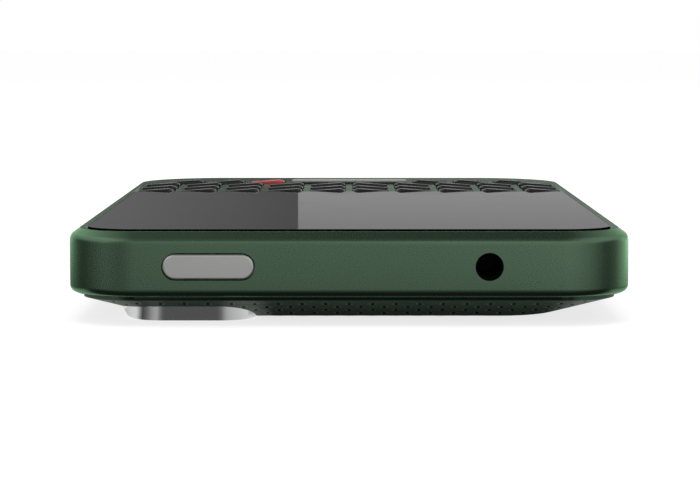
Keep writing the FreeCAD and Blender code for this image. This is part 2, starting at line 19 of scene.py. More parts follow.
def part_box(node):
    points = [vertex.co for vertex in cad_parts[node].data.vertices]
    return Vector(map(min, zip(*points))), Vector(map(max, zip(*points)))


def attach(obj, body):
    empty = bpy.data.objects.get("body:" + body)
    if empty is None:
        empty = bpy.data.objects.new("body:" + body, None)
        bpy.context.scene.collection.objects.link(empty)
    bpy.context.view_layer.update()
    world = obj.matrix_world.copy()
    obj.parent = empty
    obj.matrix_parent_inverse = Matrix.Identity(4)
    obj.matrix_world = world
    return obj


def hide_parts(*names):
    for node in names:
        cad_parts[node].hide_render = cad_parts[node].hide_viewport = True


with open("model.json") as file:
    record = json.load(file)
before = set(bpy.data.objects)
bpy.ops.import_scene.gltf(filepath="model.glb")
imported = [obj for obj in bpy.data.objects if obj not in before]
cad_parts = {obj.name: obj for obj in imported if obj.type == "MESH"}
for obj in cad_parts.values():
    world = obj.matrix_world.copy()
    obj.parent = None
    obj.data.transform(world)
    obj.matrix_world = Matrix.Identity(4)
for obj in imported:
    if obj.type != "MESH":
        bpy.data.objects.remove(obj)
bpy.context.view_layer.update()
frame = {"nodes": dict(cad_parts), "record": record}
MM = 0.001

# %% [markdown]
# ## The camera
#
# The photograph was taken with a long lens, so the sides converge only a little. Fitting the outline's
# corners gave the camera's distance, height and tilt. The camera comes first because every later choice
# is compared with the photograph through it.

# %% Camera
picture_width = 700
focal_pixels = 2469
sensor_width = 36.0
camera_place = (0.0, 402.75 * MM, 39.76 * MM)
camera_tilt = 4.915
centre_offset_pixels = 0.85

camera_data = bpy.data.cameras.new("camera")
camera_data.sensor_width = sensor_width
camera_data.lens = focal_pixels / picture_width * sensor_width
camera_data.shift_x = centre_offset_pixels / picture_width
camera_data.clip_start = 0.01
camera_data.clip_end = 50
camera = bpy.data.objects.new("camera", camera_data)
camera.location = camera_place
camera.rotation_euler = (math.radians(90 - camera_tilt), 0, math.radians(180))
bpy.context.scene.collection.objects.link(camera)
bpy.context.scene.camera = camera
bpy.context.scene.view_settings.view_transform = "Standard"
print("lens in mm:", round(camera_data.lens, 1))

# %% [markdown]
# ## Sizes
#
# The CAD model gives the places. The few sizes below are those of rounded edges and profiles, which a
# bounding box can't give, and most of them repeat the CAD model's own values.

# %% Sizes read from the frame
def node_box(name):
    """Lowest and highest corner of a CAD node as arrays."""
    low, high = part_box(name)
    return np.array(low), np.array(high)


frame_low, frame_high = node_box("front_frame")
half_w, half_l, front_z = frame_high
back_z = frame_low[2]
glass_low, glass_high = node_box("display_glass")
bezel_low, bezel_high = node_box("camera_bezel")
key_names = [name for name in frame["nodes"] if name.startswith("key_r") or name == "space_bar"]
print(len(key_names), "keys")

# %% Sizes of edges and profiles
top_corner_r = 9.6 * MM
bottom_corner_r = 16.0 * MM
rim_z = front_z - 0.06 * MM
corner_steps = 20
print("rim over the table in mm:", round(rim_z / MM, 2))

# %% [markdown]
# ## Surfaces from rings
#
# Nearly every piece of a phone is a stack of outlines: a loop is drawn, moved a little, and drawn again.
# A ring is an array of points, and a piece is an array of rings. Two helpers do this work for the whole
# file: one draws the loop of a rectangle with rounded corners, and the other skins a stack of loops.

# %% Loops
def rounded_loop(low, high, radii, steps=corner_steps, lead=0.3 * MM):
    """Anticlockwise loop of points round a rectangle, starting at its high corner.

    A corner is centre + r (cos a, sin a) through a quarter turn. One more point lies a short way out
    on each straight side, so that the smooth shading of the corner stays off the flat.
    """
    (x0, y0), (x1, y1) = low[:2], high[:2]
    corners = np.array([[x1, y1], [x0, y1], [x0, y0], [x1, y0]])
    inward = np.array([[-1, -1], [1, -1], [1, 1], [-1, 1]])
    r = np.asarray(radii, float)[:, None]
    start = np.radians([0, 90, 180, 270])[:, None]
    turn = start + np.linspace(0, np.pi / 2, steps + 1)
    arcs = (corners + inward * r)[:, None, :] + r[:, :, None] * np.stack([np.cos(turn), np.sin(turn)], -1)
    along = np.stack([-np.sin(turn), np.cos(turn)], -1)
    before = arcs[:, :1] - lead * along[:, :1]
    after = arcs[:, -1:] + lead * along[:, -1:]
    return np.concatenate([before, arcs, after], 1).reshape(-1, 2)


def circle_loop(x, y, r, steps):
    """Anticlockwise loop of a circle: centre + r (cos a, sin a)."""
    turn = np.arange(steps) * 2 * np.pi / steps
    return np.stack([x + r * np.cos(turn), y + r * np.sin(turn)], -1)


print("points of a rounded rectangle:", len(rounded_loop((0, 0), (1, 1), [0.1] * 4)))

# %% Rings and skins
def at_height(loop, z):
    """A flat loop lifted to height z."""
    return np.column_stack([loop, np.broadcast_to(z, len(loop))])


def make_object(name, points, faces):
    """Mesh object from points and faces, put into the scene."""
    mesh = bpy.data.meshes.new(name)
    mesh.from_pydata(np.asarray(points).tolist(), [], [list(map(int, face)) for face in faces])
    piece = bpy.data.objects.new(name, mesh)
    bpy.context.scene.collection.objects.link(piece)
    return piece


def ring_quads(count, size):
    """Quads between stacked rings: (i, j) joins points j and j + 1 of rings i and i + 1."""
    i, j = np.meshgrid(np.arange(count - 1) * size, np.arange(size), indexing="ij")
    following = (j + 1) % size
    return np.stack([i + j, i + following, i + following + size, i + j + size], -1).reshape(-1, 4)


def skin(name, rings):
    """Closed piece through rings of matching points, with a flat face across each end.

    Faces point outwards when the rings run anticlockwise about the direction in which they are stacked.
    """
    rings = np.asarray(rings)
    count, size, _ = rings.shape
    ends = [np.arange(size)[::-1], np.arange((count - 1) * size, count * size)]
    return make_object(name, rings.reshape(-1, 3), list(ring_quads(count, size)) + ends)


def block(name, loop, z0, z1):
    """Upright block on a flat loop."""
    return skin(name, [at_height(loop, z0), at_height(loop, z1)])


print("quads of a skin through 3 rings of 8 points:", len(ring_quads(3, 8)))

# %% Four ways to face
def turned(points, u, v, w):
    """Carries local points onto the phone's axes: u, v and w say where each local axis goes."""
    return np.asarray(points) @ np.array([u, v, w], float)


# The third axis of each points straight out of that edge of the phone.
FACING_TOP = ((-1, 0, 0), (0, 0, 1), (0, 1, 0))
FACING_BOTTOM = ((1, 0, 0), (0, 0, 1), (0, -1, 0))
FACING_RIGHT = ((0, 1, 0), (0, 0, 1), (1, 0, 0))
FACING_LEFT = ((0, -1, 0), (0, 0, 1), (-1, 0, 0))


# %% Cutting
def carve(piece, cutters):
    """Takes cutters out of a piece with one exact Boolean and keeps the result as a plain mesh."""
    tools = bpy.data.collections.new("cutters")
    bpy.context.scene.collection.children.link(tools)
    for cutter in cutters:
        bpy.context.scene.collection.objects.unlink(cutter)
        tools.objects.link(cutter)
    cut = piece.modifiers.new("cut", "BOOLEAN")
    cut.operation = "DIFFERENCE"
    cut.solver = "EXACT"
    cut.operand_type = "COLLECTION"
    cut.collection = tools
    depsgraph = bpy.context.evaluated_depsgraph_get()
    mesh = bpy.data.meshes.new_from_object(piece.evaluated_get(depsgraph))
    piece.modifiers.clear()
    piece.data = mesh
    for cutter in cutters:
        bpy.data.objects.remove(cutter)
    bpy.data.collections.remove(tools)


# %% Placing a finished piece
sharp_degrees = 28


def place(piece, body, slot, material, *nodes):
    """Gives a finished piece its shading, its material and its body, and hides the CAD nodes it stands
    for.

    The shading is smooth and breaks at edges that turn by more than sharp_degrees.
    """
    piece.data.shade_smooth()
    piece.data.set_sharp_from_angle(angle=math.radians(sharp_degrees))
    piece.data.materials.clear()
    piece.data.materials.append(material)
    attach(piece, body)
    if nodes:
        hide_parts(*nodes)


# %% [markdown]
# ## Shader maths as plain expressions
#
# A finish is a sum of small effects: grain, mottling, wear. Written as nodes that is hard to read, so
# a small class lets a socket be added and multiplied like a number, and one method adds any other node.

# %% Sockets in a sum
class Wire:
    """An output socket that can be used in a sum, with numbers or other wires."""

    def __init__(self, nodes, socket):
        self.nodes = nodes
        self.socket = socket

    def maths(self, operation, first, second):
        """One Math node on two wires or numbers."""
        return self.nodes.node("ShaderNodeMath", {"operation": operation}, {0: first, 1: second})

    def __add__(self, other):
        return self.maths("ADD", self, other)

    def __sub__(self, other):
        return self.maths("SUBTRACT", self, other)

    def __rsub__(self, other):
        return self.maths("SUBTRACT", other, self)

    def __mul__(self, other):
        return self.maths("MULTIPLY", self, other)

    def __pow__(self, other):
        return self.maths("POWER", self, other)

    __radd__ = __add__
    __rmul__ = __mul__


class Nodes:
    """A node tree to which nodes are added one call at a time."""

    def __init__(self, tree):
        self.tree = tree

    def feed(self, socket, value):
        """Links a wire to a socket, or sets the socket to a value."""
        if isinstance(value, Wire):
            self.tree.links.new(value.socket, socket)
        else:
            socket.default_value = value

    def node(self, kind, settings=None, inputs=None, output=0):
        """Adds a node: its settings first, then the values or links of its sockets."""
        made = self.tree.nodes.new(kind)
        for setting, value in (settings or {}).items():
            setattr(made, setting, value)
        for socket, value in (inputs or {}).items():
            self.feed(made.inputs[socket], value)
        return Wire(self, made.outputs[output])

    def seen(self):
        """1 for rays from the camera, a mirror or clear glass, and 0 for the light's bounce."""
        total = 0
        for ray in ("Is Camera Ray", "Is Glossy Ray", "Is Transmission Ray"):
            total = self.node("ShaderNodeLightPath", output=ray) + total
        return total


# %% Materials
class Shader(Nodes):
    """A material with a Principled surface."""

    def __init__(self, name, **surface):
        self.material = bpy.data.materials.new(name)
        self.material.use_nodes = True
        super().__init__(self.material.node_tree)
        self.surface = self.tree.nodes["Principled BSDF"]
        for socket, value in surface.items():
            self.set({"ior": "IOR"}.get(socket, socket.title()), value)
        self.position = self.node("ShaderNodeTexCoord", output="Object")

    def set(self, socket, value):
        """Sets or links one socket of the Principled surface."""
        self.feed(self.surface.inputs[socket], value)

    def noise(self, per_mm, detail=2.0, stretch=(1, 1, 1)):
        """Noise in object space with about per_mm spots in a millimetre."""
        scaled = self.node("ShaderNodeMapping", {}, {"Vector": self.position, "Scale": stretch})
        return self.node("ShaderNodeTexNoise", {}, {
            "Vector": scaled, "Scale": per_mm / MM, "Detail": detail})

    def mix(self, factor, first, second):
        """Blend of two colours, from first at 0 to second at 1."""
        return self.node("ShaderNodeMix", {"data_type": "RGBA"},
                         {0: factor, 6: first, 7: second}, output=2)

    def rise(self, start, end):
        """Share that goes from 0 at one height of the object to 1 at another."""
        height = self.node("ShaderNodeSeparateXYZ", {}, {0: self.position}, output="Z")
        return self.node("ShaderNodeMapRange", {}, {"Value": height, "From Min": start, "From Max": end})

    def bump(self, height, depth):
        """Normal that follows a height from 0 to 1, depth metres deep."""
        self.set("Normal", self.node("ShaderNodeBump", {},
                                     {"Strength": 1.0, "Distance": depth, "Height": height}))

    def grained(self, grain, dark, light, roughness, spread, depth):
        """Lets one grain vary the colour, the roughness and a shallow bump."""
        self.set("Base Color", self.mix(grain, dark, light))
        self.set("Roughness", roughness + grain * spread)
        self.bump(grain, depth)


def colour(red, green, blue):
    """Linear colour from screen values of 0 to 255."""
    share = np.array([red, green, blue]) / 255
    linear = np.where(share <= 0.04045, share / 12.92, ((share + 0.055) / 1.055) ** 2.4)
    return (*linear.tolist(), 1.0)


print("screen grey 128 as a linear share:", round(colour(128, 128, 128)[0], 3))

# %% [markdown]
# ## Finishes of the outside
#
# The band is aluminium, bead-blasted and dyed deep green. The blasting leaves a fine even grain that
# spreads reflections, so the grain feeds both the roughness and a very shallow bump.

# %% Green metal
def green_metal():
    """Smooth on the rim and the deck, and a little rougher below them, on the bevel and the band.

    Fine grain adds up to 0.1 to the roughness, and a wide cloud shifts the green a little.
    """
    shader = Shader("green_metal", metallic=1.0)
    grain = shader.noise(7, detail=3)
    cloud = shader.noise(0.05)
    shader.set("Base Color", shader.mix(cloud, colour(88, 113, 92), colour(94, 120, 98)))
    shader.set("Specular Tint", colour(206, 238, 210))
    below = shader.rise(rim_z - 0.01 * MM, rim_z - 0.04 * MM)
    shader.set("Roughness", 0.1 + below * 0.12 + grain * 0.1)
    shader.bump(grain, 0.0004 * MM)
    return shader.material


green_metal_finish = green_metal()
print("finish:", green_metal_finish.name)

# %% Silver metal, chrome and steel
def silver_metal():
    """Brushed metal, whose grain is stretched across the width of the phone."""
    shader = Shader("silver_metal", metallic=1.0)
    grain = shader.noise(10, stretch=(0.15, 1, 1))
    shader.grained(grain, colour(196, 196, 195), colour(208, 208, 206), 0.3, 0.15, 0.003 * MM)
    return shader.material


def polished_chrome():
    """Mirror-like metal with a faint haze in wide patches."""
    shader = Shader("polished_chrome", metallic=1.0)
    haze = shader.noise(0.3)
    shader.set("Base Color", shader.mix(haze, colour(222, 223, 225), colour(230, 230, 230)))
    shader.set("Roughness", 0.05 + haze * 0.05)
    return shader.material


def plated_steel(name, dark, light, roughness):
    """Metal with an even, fine grain."""
    shader = Shader(name, metallic=1.0)
    shader.grained(shader.noise(6), dark, light, roughness, 0.15, 0.004 * MM)
    return shader.material


silver_finish = silver_metal()
chrome_finish = polished_chrome()
steel_finish = plated_steel("plate_steel", colour(170, 170, 168), colour(190, 190, 188), 0.25)
print("finishes:", silver_finish.name, chrome_finish.name, steel_finish.name)

# %% [markdown]
# The display's glass is black from behind and polished. Fingers leave a faint film, which shows as
# slightly rougher patches in the reflection.

# %% Black of the display
def display_black():
    """Black glass whose roughness is 0.02, plus a tenth of the film's third power."""
    shader = Shader("display_glass", ior=1.5)
    film = shader.noise(0.12, detail=4)
    shader.set("Base Color", shader.mix(film, colour(9, 9, 10), colour(12, 12, 13)))
    shader.set("Roughness", 0.02 + film ** 3 * 0.10)
    return shader.material


display_finish = display_black()
print("finish:", display_finish.name)

# %% [markdown]
# The keys are dark plastic with a semi-gloss skin. The space bar is painted light grey on top, and one
# key is red.

# %% Key plastics
def key_plastic(name, dark, light, roughness=0.16):
    """Plastic with a semi-gloss skin and a very shallow grain."""
    shader = Shader(name, ior=1.5)
    shader.grained(shader.noise(9, detail=3), dark, light, roughness, 0.04, 0.0006 * MM)
    return shader.material


key_black_finish = key_plastic("key_black", colour(13, 13, 15), colour(18, 18, 20), 0.08)
key_red_finish = key_plastic("key_red", colour(165, 54, 58), colour(175, 62, 66))
print("finishes:", key_black_finish.name, key_red_finish.name)

# %% Paint of the space bar
paint_depth = 0.34 * MM
paint_blur = 0.02 * MM


def painted_key(name, body, paint, edge_z):
    """Dark plastic whose top is painted, down to a height on its rounded edge."""
    shader = Shader(name, ior=1.5)
    grain = shader.noise(9, detail=3)
    above = shader.rise(edge_z - paint_blur, edge_z + paint_blur)
    shader.set("Base Color", shader.mix(above, body, paint))
    shader.set("Specular IOR Level", 0.25)
    shader.set("Roughness", 0.2 + grain * 0.1)
    shader.bump(grain, 0.001 * MM)
    return shader.material


space_top = node_box("space_bar")[1][2]
key_light_finish = painted_key("key_light", colour(18, 18, 20), colour(140, 142, 141),
                               space_top - paint_depth)
print("finish:", key_light_finish.name)

# %% [markdown]
# The back cover is moulded plastic with a soft matt skin in the band's green. Its mesh carries a value
# named pit, which holds painted light: above 0 it marks a painted highlight on the lip of a dimple, and
# below 0 painted shade inside a dimple and in the seam round the cover.

# %% Back cover and dark plastics
def cover_plastic():
    """Green skin with a painted highlight on the lips, and painted shade inside where Metallic takes the
    gloss away.
    """
    shader = Shader("green_cover", ior=1.45)
    grain = shader.noise(8, detail=3)
    cloud = shader.noise(0.08)
    tone = shader.mix(cloud, colour(68, 90, 72), colour(75, 98, 79))
    # The value pit is painted light: above 0 a painted highlight on lips, below 0 painted shade in pits
    # and seams.
    pit = shader.node("ShaderNodeAttribute", {"attribute_name": "pit"}, output="Fac")
    lip = shader.node("ShaderNodeClamp", {}, {"Value": pit})
    inside = shader.node("ShaderNodeClamp", {}, {"Value": 0 - pit})
    # The lip's painted highlight colour.
    tone = shader.mix(lip, tone, colour(140, 168, 146))
    # Near black painted shade inside the pits and seams.
    shader.set("Base Color", shader.mix(inside, tone, colour(4, 6, 4)))
    shader.set("Metallic", inside)
    shader.set("Specular IOR Level", 0.25)
    shader.set("Roughness", 0.42 + grain * 0.16)
    shader.bump(grain, 0.006 * MM)
    return shader.material


def matt_plastic(name, dark, light, roughness=0.5):
    """Plastic with a dull, finely grained skin."""
    shader = Shader(name, ior=1.48)
    shader.grained(shader.noise(7, detail=3), dark, light, roughness, 0.2, 0.005 * MM)
    return shader.material


cover_finish = cover_plastic()
socket_finish = matt_plastic("socket_black", colour(10, 10, 11), colour(18, 18, 19))
print("finishes:", cover_finish.name, socket_finish.name)

# %% [markdown]
# ## The band, rim and key deck
#
# The front frame is one machined piece: a band round the phone, a rim round the glass and a deck that
# the keys come through. Its outside is one profile carried round the outline, so it is skinned from
# rings. The openings are then cut as they are on the milling machine, each with its own cutter.

# %% Profile of the band
edge_in = 0.9 * MM
edge_rise = 1.0 * MM
lip_rise = 0.065 * MM
bevel_in = 1.37 * MM
bevel_foot_in = 0.32 * MM
bevel_drop = 0.79 * MM
bevel_blend = 0.95 * MM
crest_r = 0.03 * MM
crest_sag = 0.25
hair = 0.06 * MM

# The cover's edge stands out behind the frame by seam, and seam_shown of its wall shows below the band.
seam = 0.34 * MM
seam_shown = 0.62 * MM
cover_edge_z = back_z - seam
foot_z = cover_edge_z + seam_shown


def band_profile():
    """Inset and height of the band from back to front.

    It is a short upright lip, a quarter ellipse, the upright band, a parabola where the inset grows with
    s squared, then the straight bevel, whose upper edge is broken by a short flat. Where a flat stretch
    meets a round one, one more ring lies a hair inside the flat and keeps the shading of the round off it.
    """
    turn = np.linspace(0, np.pi / 2, 9)
    inset = np.append(edge_in, edge_in * (1 - np.sin(turn)))
    height = np.append(foot_z, foot_z + lip_rise + edge_rise * (1 - np.cos(turn)))
    blend_z = rim_z - bevel_drop - bevel_blend
    inset = np.append(inset, [0, 0])
    height = np.append(height, [height[-1] + hair, blend_z - hair])
    s = np.linspace(0, 1, 7)
    inset = np.append(inset, bevel_foot_in * s**2)
    height = np.append(height, blend_z + bevel_blend * s)
    slope = bevel_drop / (bevel_in - bevel_foot_in)
    along = np.array([bevel_foot_in + hair, bevel_in - crest_r - hair, bevel_in - crest_r])
    inset = np.append(inset, along)
    height = np.append(height, rim_z - (bevel_in - along) * slope)
    inset = np.append(inset, [bevel_in, bevel_in + crest_r, bevel_in + crest_r + hair])
    height = np.append(height, [rim_z - crest_r * slope * crest_sag, rim_z, rim_z])
    return inset, height


def outline(inset, top_r, bottom_r):
    """Outline that lies inset from the phone's straight sides, with its own corner radii."""
    corner = np.array([half_w, half_l])
    return rounded_loop(inset - corner, corner - inset, [top_r, top_r, bottom_r, bottom_r])


def phone_loop(inset):
    """Outline of the phone, drawn in by inset."""
    return outline(inset, top_corner_r - inset, bottom_corner_r - inset)


insets, heights = band_profile()
print("rings of the band:", len(insets))

# %% Key caps on their plan
key_flange = 0.35 * MM
key_clearance = 0.12 * MM
key_corner = 0.45 * MM
key_blob_corner = 0.85 * MM
key_least_corner = 0.05 * MM
key_corner_steps = 5


def cap_box(name):
    """Lowest and highest corner of a key's cap, without the flange under the deck."""
    low, high = node_box(name)
    return low + [key_flange, key_flange, 0], high - [key_flange, key_flange, 0]


def cap_loop(name, inset):
    """Outline of a key's cap, with the larger round corner at its inner near end."""
    low, high = cap_box(name)
    large = key_corner if name == "space_bar" else key_blob_corner
    near = [key_corner, large] if low[0] > 0 else [large, key_corner]
    radii = np.maximum(np.array(near + [key_corner] * 2) - inset, key_least_corner)
    return rounded_loop(low + inset, high - inset, radii, key_corner_steps, lead=0.1 * MM)


space_low, space_high = cap_box("space_bar")
print("space bar in mm:", np.round((space_high - space_low)[:2] / MM, 2))

# %% Outlines of the openings
glue = 0.1 * MM
glass_ledge = 1.5 * MM
glass_corner_r = 7.0 * MM
glass_low_corner_r = 1.5 * MM
glass_least_r = 0.2 * MM
pill_round = 0.999
pill_steps = 10
pill_sizes = {
    "power_button": (12.6 * MM, 3.5 * MM),
    "volume_rocker": (20.0 * MM, 2.8 * MM),
    "sim_tray": (14.2 * MM, 1.7 * MM),
    "usb_port": (8.94 * MM, 3.16 * MM),
}


def glass_loop(inset):
    """Outline of the display glass, drawn in by inset."""
    high = glass_corner_r - inset
    low = max(glass_low_corner_r - inset, glass_least_r)
    return rounded_loop(glass_low + inset, glass_high - inset, [high, high, low, low])


def pill_loop(centre, size):
    """Outline of a bar with round ends, which are a hair less than half circles."""
    r = size[1] / 2 * pill_round
    return rounded_loop(centre - size / 2, centre + size / 2, [r] * 4, pill_steps, lead=0.001 * MM)


def middle(low, high):
    """Point half way between two corners."""
    return (low + high) / 2


def control_loop(node, facing, grow):
    """Outline of a control in the plane of its edge of the phone, grown all round."""
    centre = middle(*node_box(node))
    across = 0 if facing in (FACING_TOP, FACING_BOTTOM) else 1
    return pill_loop(np.array([facing[0][across] * centre[across], centre[2]]),
                     np.array(pill_sizes[node]) + 2 * grow)


print("display glass in mm:", np.round((glass_high - glass_low)[:2] / MM, 2))

# %% Cutters through the band
frame_wall = 2.0 * MM
pocket_gap = 0.2 * MM
pocket_r = 0.1 * MM
button_travel = 0.3 * MM

# The frame is hollow up to step_z, and every cutter reaches past the surface that it opens.
step_z = 9.24 * MM
past = 1.0 * MM


def edge_cutter(loops, depths, facing):
    """Cutter through the band: flat loops at distances from the phone's middle, turned to face out."""
    rings = [at_height(loop, depth) for loop, depth in zip(loops, depths)]
    return skin("cutter", turned(rings, *facing))


def pill_cutter(node, facing, reach, gap):
    """Slot for a control, with a gap all round."""
    loop = control_loop(node, facing, gap)
    return edge_cutter([loop, loop], [reach - frame_wall - past, reach + past], facing)


def pocket(node):
    """Room behind the band for a piece, with a small gap all round and its travel behind it."""
    low, high = node_box(node)
    low = low - pocket_gap - [0, button_travel, 0]
    low = np.maximum(low, [-half_w + frame_wall, -half_l + frame_wall, 0])
    high = np.minimum(high + pocket_gap, [half_w - frame_wall, half_l - frame_wall, front_z])
    loop = rounded_loop(low, high, [pocket_r] * 4, 1, lead=0.01 * MM)
    return block("cutter", loop, step_z - past, high[2])


# %% Round holes in the edges
jack_x = -19.27 * MM
jack_z = 8.17 * MM
jack_mouth_r = 1.94 * MM
jack_bore_r = 1.8 * MM
jack_lead_in = 1.0 * MM
jack_seat_r = 2.4 * MM
port_z = 6.7 * MM
speaker_x = 18.0 * MM
sound_hole_pitch = 2.6 * MM
sound_hole_r = 0.6 * MM
sound_holes = 5
mic_x = -9.0 * MM
mic_r = 0.5 * MM


def jack_cutter():
    """The headphone socket's lead-in and bore, and its wider seat behind the band."""
    seat = half_l - jack_lead_in
    depths = [half_l - frame_wall - past, seat, seat, half_l, half_l + past]
    radii = [jack_seat_r, jack_seat_r, jack_bore_r, jack_mouth_r, jack_mouth_r]
    return edge_cutter([circle_loop(-jack_x, jack_z, r, 48) for r in radii], depths, FACING_TOP)


def small_hole(x, r):
    """Hole through the bottom edge."""
    hole = circle_loop(x, port_z, r, 20)
    return edge_cutter([hole, hole], [half_l - frame_wall - past, half_l + past], FACING_BOTTOM)


sound_xs = [speaker_x + (n - (sound_holes - 1) / 2) * sound_hole_pitch for n in range(sound_holes)]
print("sound holes at x in mm:", np.round(np.array(sound_xs) / MM, 1))

# %% Every opening of the frame
rim_fall = 0.07 * MM
rim_fall_wide = 0.5 * MM
deck_thick = 1.9 * MM
key_room_r = 0.2 * MM
control_gap = 0.15 * MM
tray_gap = 0.1 * MM


def display_cutters():
    """Seat of the glass, its slightly sunk rim, and the well under it."""
    wide_loop = glass_loop(-glue - rim_fall_wide)
    well = rounded_loop(glass_low + glass_ledge, glass_high - glass_ledge,
                        [glass_corner_r - glass_ledge] * 2 + [glass_low_corner_r] * 2)
    return [
        block("cutter", glass_loop(-glue), glass_low[2] - glue, front_z + past),
        skin("cutter", [at_height(glass_loop(-glue), rim_z - rim_fall), at_height(wide_loop, rim_z),
                        at_height(wide_loop, front_z + past)]),
        block("cutter", well, step_z - past, glass_low[2]),
    ]


def keyboard_cutters():
    """Room under the deck for all keys, and one hole for each."""
    under_deck = front_z - deck_thick
    boxes = np.array([node_box(name) for name in key_names])
    key_room = rounded_loop(boxes[:, 0].min(0) - key_clearance, boxes[:, 1].max(0) + key_clearance,
                            [key_room_r] * 4, 1)
    holes = [block("cutter", cap_loop(name, -key_clearance), under_deck - past, front_z + past)
             for name in key_names]
    return [block("cutter", key_room, step_z - past, under_deck)] + holes


def edge_cutters():
    """Openings of the four edges, with the pockets behind them."""
    cutters = [
        pill_cutter("power_button", FACING_TOP, half_l, control_gap),
        pill_cutter("volume_rocker", FACING_LEFT, half_w, control_gap),
        pill_cutter("sim_tray", FACING_RIGHT, half_w, tray_gap),
        pill_cutter("usb_port", FACING_BOTTOM, half_l, control_gap),
        jack_cutter(),
    ]
    cutters += [pocket(node) for node in ("power_button", "volume_rocker", "headphone_jack")]
    return cutters + [small_hole(x, sound_hole_r) for x in sound_xs] + [small_hole(mic_x, mic_r)]


# %% Build the front frame
front_frame = skin("frame_shell", [at_height(phone_loop(i), z) for i, z in zip(insets, heights)])
inside = block("cutter", phone_loop(frame_wall), -past, step_z)
carve(front_frame, [inside] + display_cutters() + keyboard_cutters() + edge_cutters())
place(front_frame, "phone", "green_metal", green_metal_finish, "front_frame")
print("front frame faces:", len(front_frame.data.polygons))

# %% [markdown]
# ## The display glass
#
# A flat sheet whose edge is ground to a small round. It stands a hair above the rim, which is why a
# thin dark line runs round it.

# %% Display glass
glass_edge_r = 0.04 * MM
glass_top = glass_high[2] + 0.05 * MM


def rounded_top(loop_at, z0, z1, r):
    """Rings of a block whose upper edge is a quarter circle.

    The inset is r (1 - cos a) and the height z1 - r (1 - sin a). One more ring lies a hair below the
    round, and one a hair inside it.
    """
    turn = np.linspace(0, np.pi / 2, 6)
    inset = np.concatenate([[0, 0], r * (1 - np.cos(turn)), [r + hair]])
    height = np.concatenate([[z0, z1 - r - hair], z1 - r * (1 - np.sin(turn)), [z1]])
    return [at_height(loop_at(i), z) for i, z in zip(inset, height)]


glass = skin("front_glass", rounded_top(glass_loop, glass_low[2], glass_top, glass_edge_r))
place(glass, "phone", "display_glass", display_finish, "display_glass")
print("glass over the rim in mm:", round((glass_top - rim_z) / MM, 2))

# %% Gasket round the glass
gasket_out = 0.05 * MM
gasket_top = glass_top - 0.01 * MM


def gasket_rubber():
    """Dull black rubber with no gloss at all."""
    shader = Shader("gasket_black", roughness=0.7)
    grain = shader.noise(8)
    shader.set("Specular IOR Level", 0.0)
    shader.set("Base Color", shader.mix(grain, colour(4, 4, 4), colour(8, 8, 8)))
    return shader.material


gasket = block("glass_gasket", glass_loop(-gasket_out), glass_low[2], gasket_top)
carve(gasket, [block("cutter", glass_loop(0), glass_low[2] - past, gasket_top + past)])
place(gasket, "phone", "display_glass", gasket_rubber())
print("gasket faces:", len(gasket.data.polygons))

# %% [markdown]
# ## The keys
#
# Each key is low at its outer end and rises in one long wave to a crest near its inner end, so a thumb
# feels where it is. The form is a height over the key's plan: a cosine wave, a level crest and a round
# drop. Rings run up the wall, over the edge and in to the middle, and take their height from it. The
# edge's round is small at the low end and grows with the wave, so the crest ends in a soft bulb.

# %% Key form
key_low_height = 0.28 * MM
key_crest_height = 0.66 * MM
key_crest_share = 0.75
key_end_r = 1.0 * MM
key_end_drop = 0.5
key_fall = 0.55 * MM
key_least_fall = 0.55
key_roll = 0.15 * MM
key_roll_length = 1.4 * MM
key_least_roll = 0.4
space_bar_fall = 0.2 * MM


def key_wave(name, points):
    """Share of the crest's height at points of a key's plan, and their way in from its outer end.

    It is a (1 - cos) wave from 0 at the outer end to 1 at the crest.
    """
    low, high = cap_box(name)
    outward = np.where(low[0] > 0, high[0] - points[:, 0], points[:, 0] - low[0])
    share = np.clip(outward / ((high[0] - low[0]) * key_crest_share), 0, 1)
    return (1 - np.cos(np.pi * share)) / 2, outward


def wave_height(name, points):
    """Height of a key's top over the deck at points of its plan.

    Across the key it is the wave up to the crest, then a round drop. Along the key it falls evenly away
    from the display, and the edge next to the display rolls off as a parabola. Both are fullest at the
    crest. The space bar only falls.
    """
    low, high = cap_box(name)
    back = high[1] - points[:, 1]
    share = back / (high[1] - low[1])
    if name == "space_bar":
        return high[2] - front_z - space_bar_fall * share
    wave, outward = key_wave(name, points)
    over = np.clip(outward - (high[0] - low[0] - key_end_r), 0, key_end_r)
    drop = key_end_drop * (key_end_r - np.sqrt(key_end_r**2 - over**2))
    fall = key_fall * share * (key_least_fall + (1 - key_least_fall) * wave)
    roll = key_roll * np.clip(1 - back / key_roll_length, 0, 1)**2
    roll = roll * (key_least_roll + (1 - key_least_roll) * wave)
    return key_low_height + (key_crest_height - key_low_height) * wave - drop - fall - roll


# %% Key rings
key_edge_r = 0.12 * MM
key_bulb_r = 0.45 * MM
key_flange_gap = 0.03 * MM
key_flange_thick = 0.45 * MM
key_top_shares = (0.93, 0.8, 0.6, 0.4, 0.2, 0.05)


def key_rings(name):
    """Rings of one key from its flange up and in to the middle of its top.

    The edge's round is a quarter circle whose radius grows with the third power of the wave.
    """
    foot = cap_loop(name, 0)
    flange = cap_loop(name, -key_flange)
    flange_z = front_z - deck_thick - key_flange_gap
    rings = [at_height(flange, flange_z - key_flange_thick), at_height(flange, flange_z),
             at_height(foot, flange_z)]
    wave = np.zeros(len(foot)) if name == "space_bar" else key_wave(name, foot)[0]
    radius = key_edge_r + (key_bulb_r - key_edge_r) * wave**3
    edge = foot + (cap_loop(name, key_bulb_r) - foot) * (radius / key_bulb_r)[:, None]
    surface = front_z + wave_height(name, edge)
    for a in np.linspace(0, np.pi / 2, 7):
        loop = foot + (edge - foot) * (1 - math.cos(a))
        rings.append(at_height(loop, surface - radius * (1 - math.sin(a))))
    centre = edge.mean(0)
    for share in key_top_shares:
        loop = centre + (edge - centre) * share
        rings.append(at_height(loop, front_z + wave_height(name, loop)))
    return rings


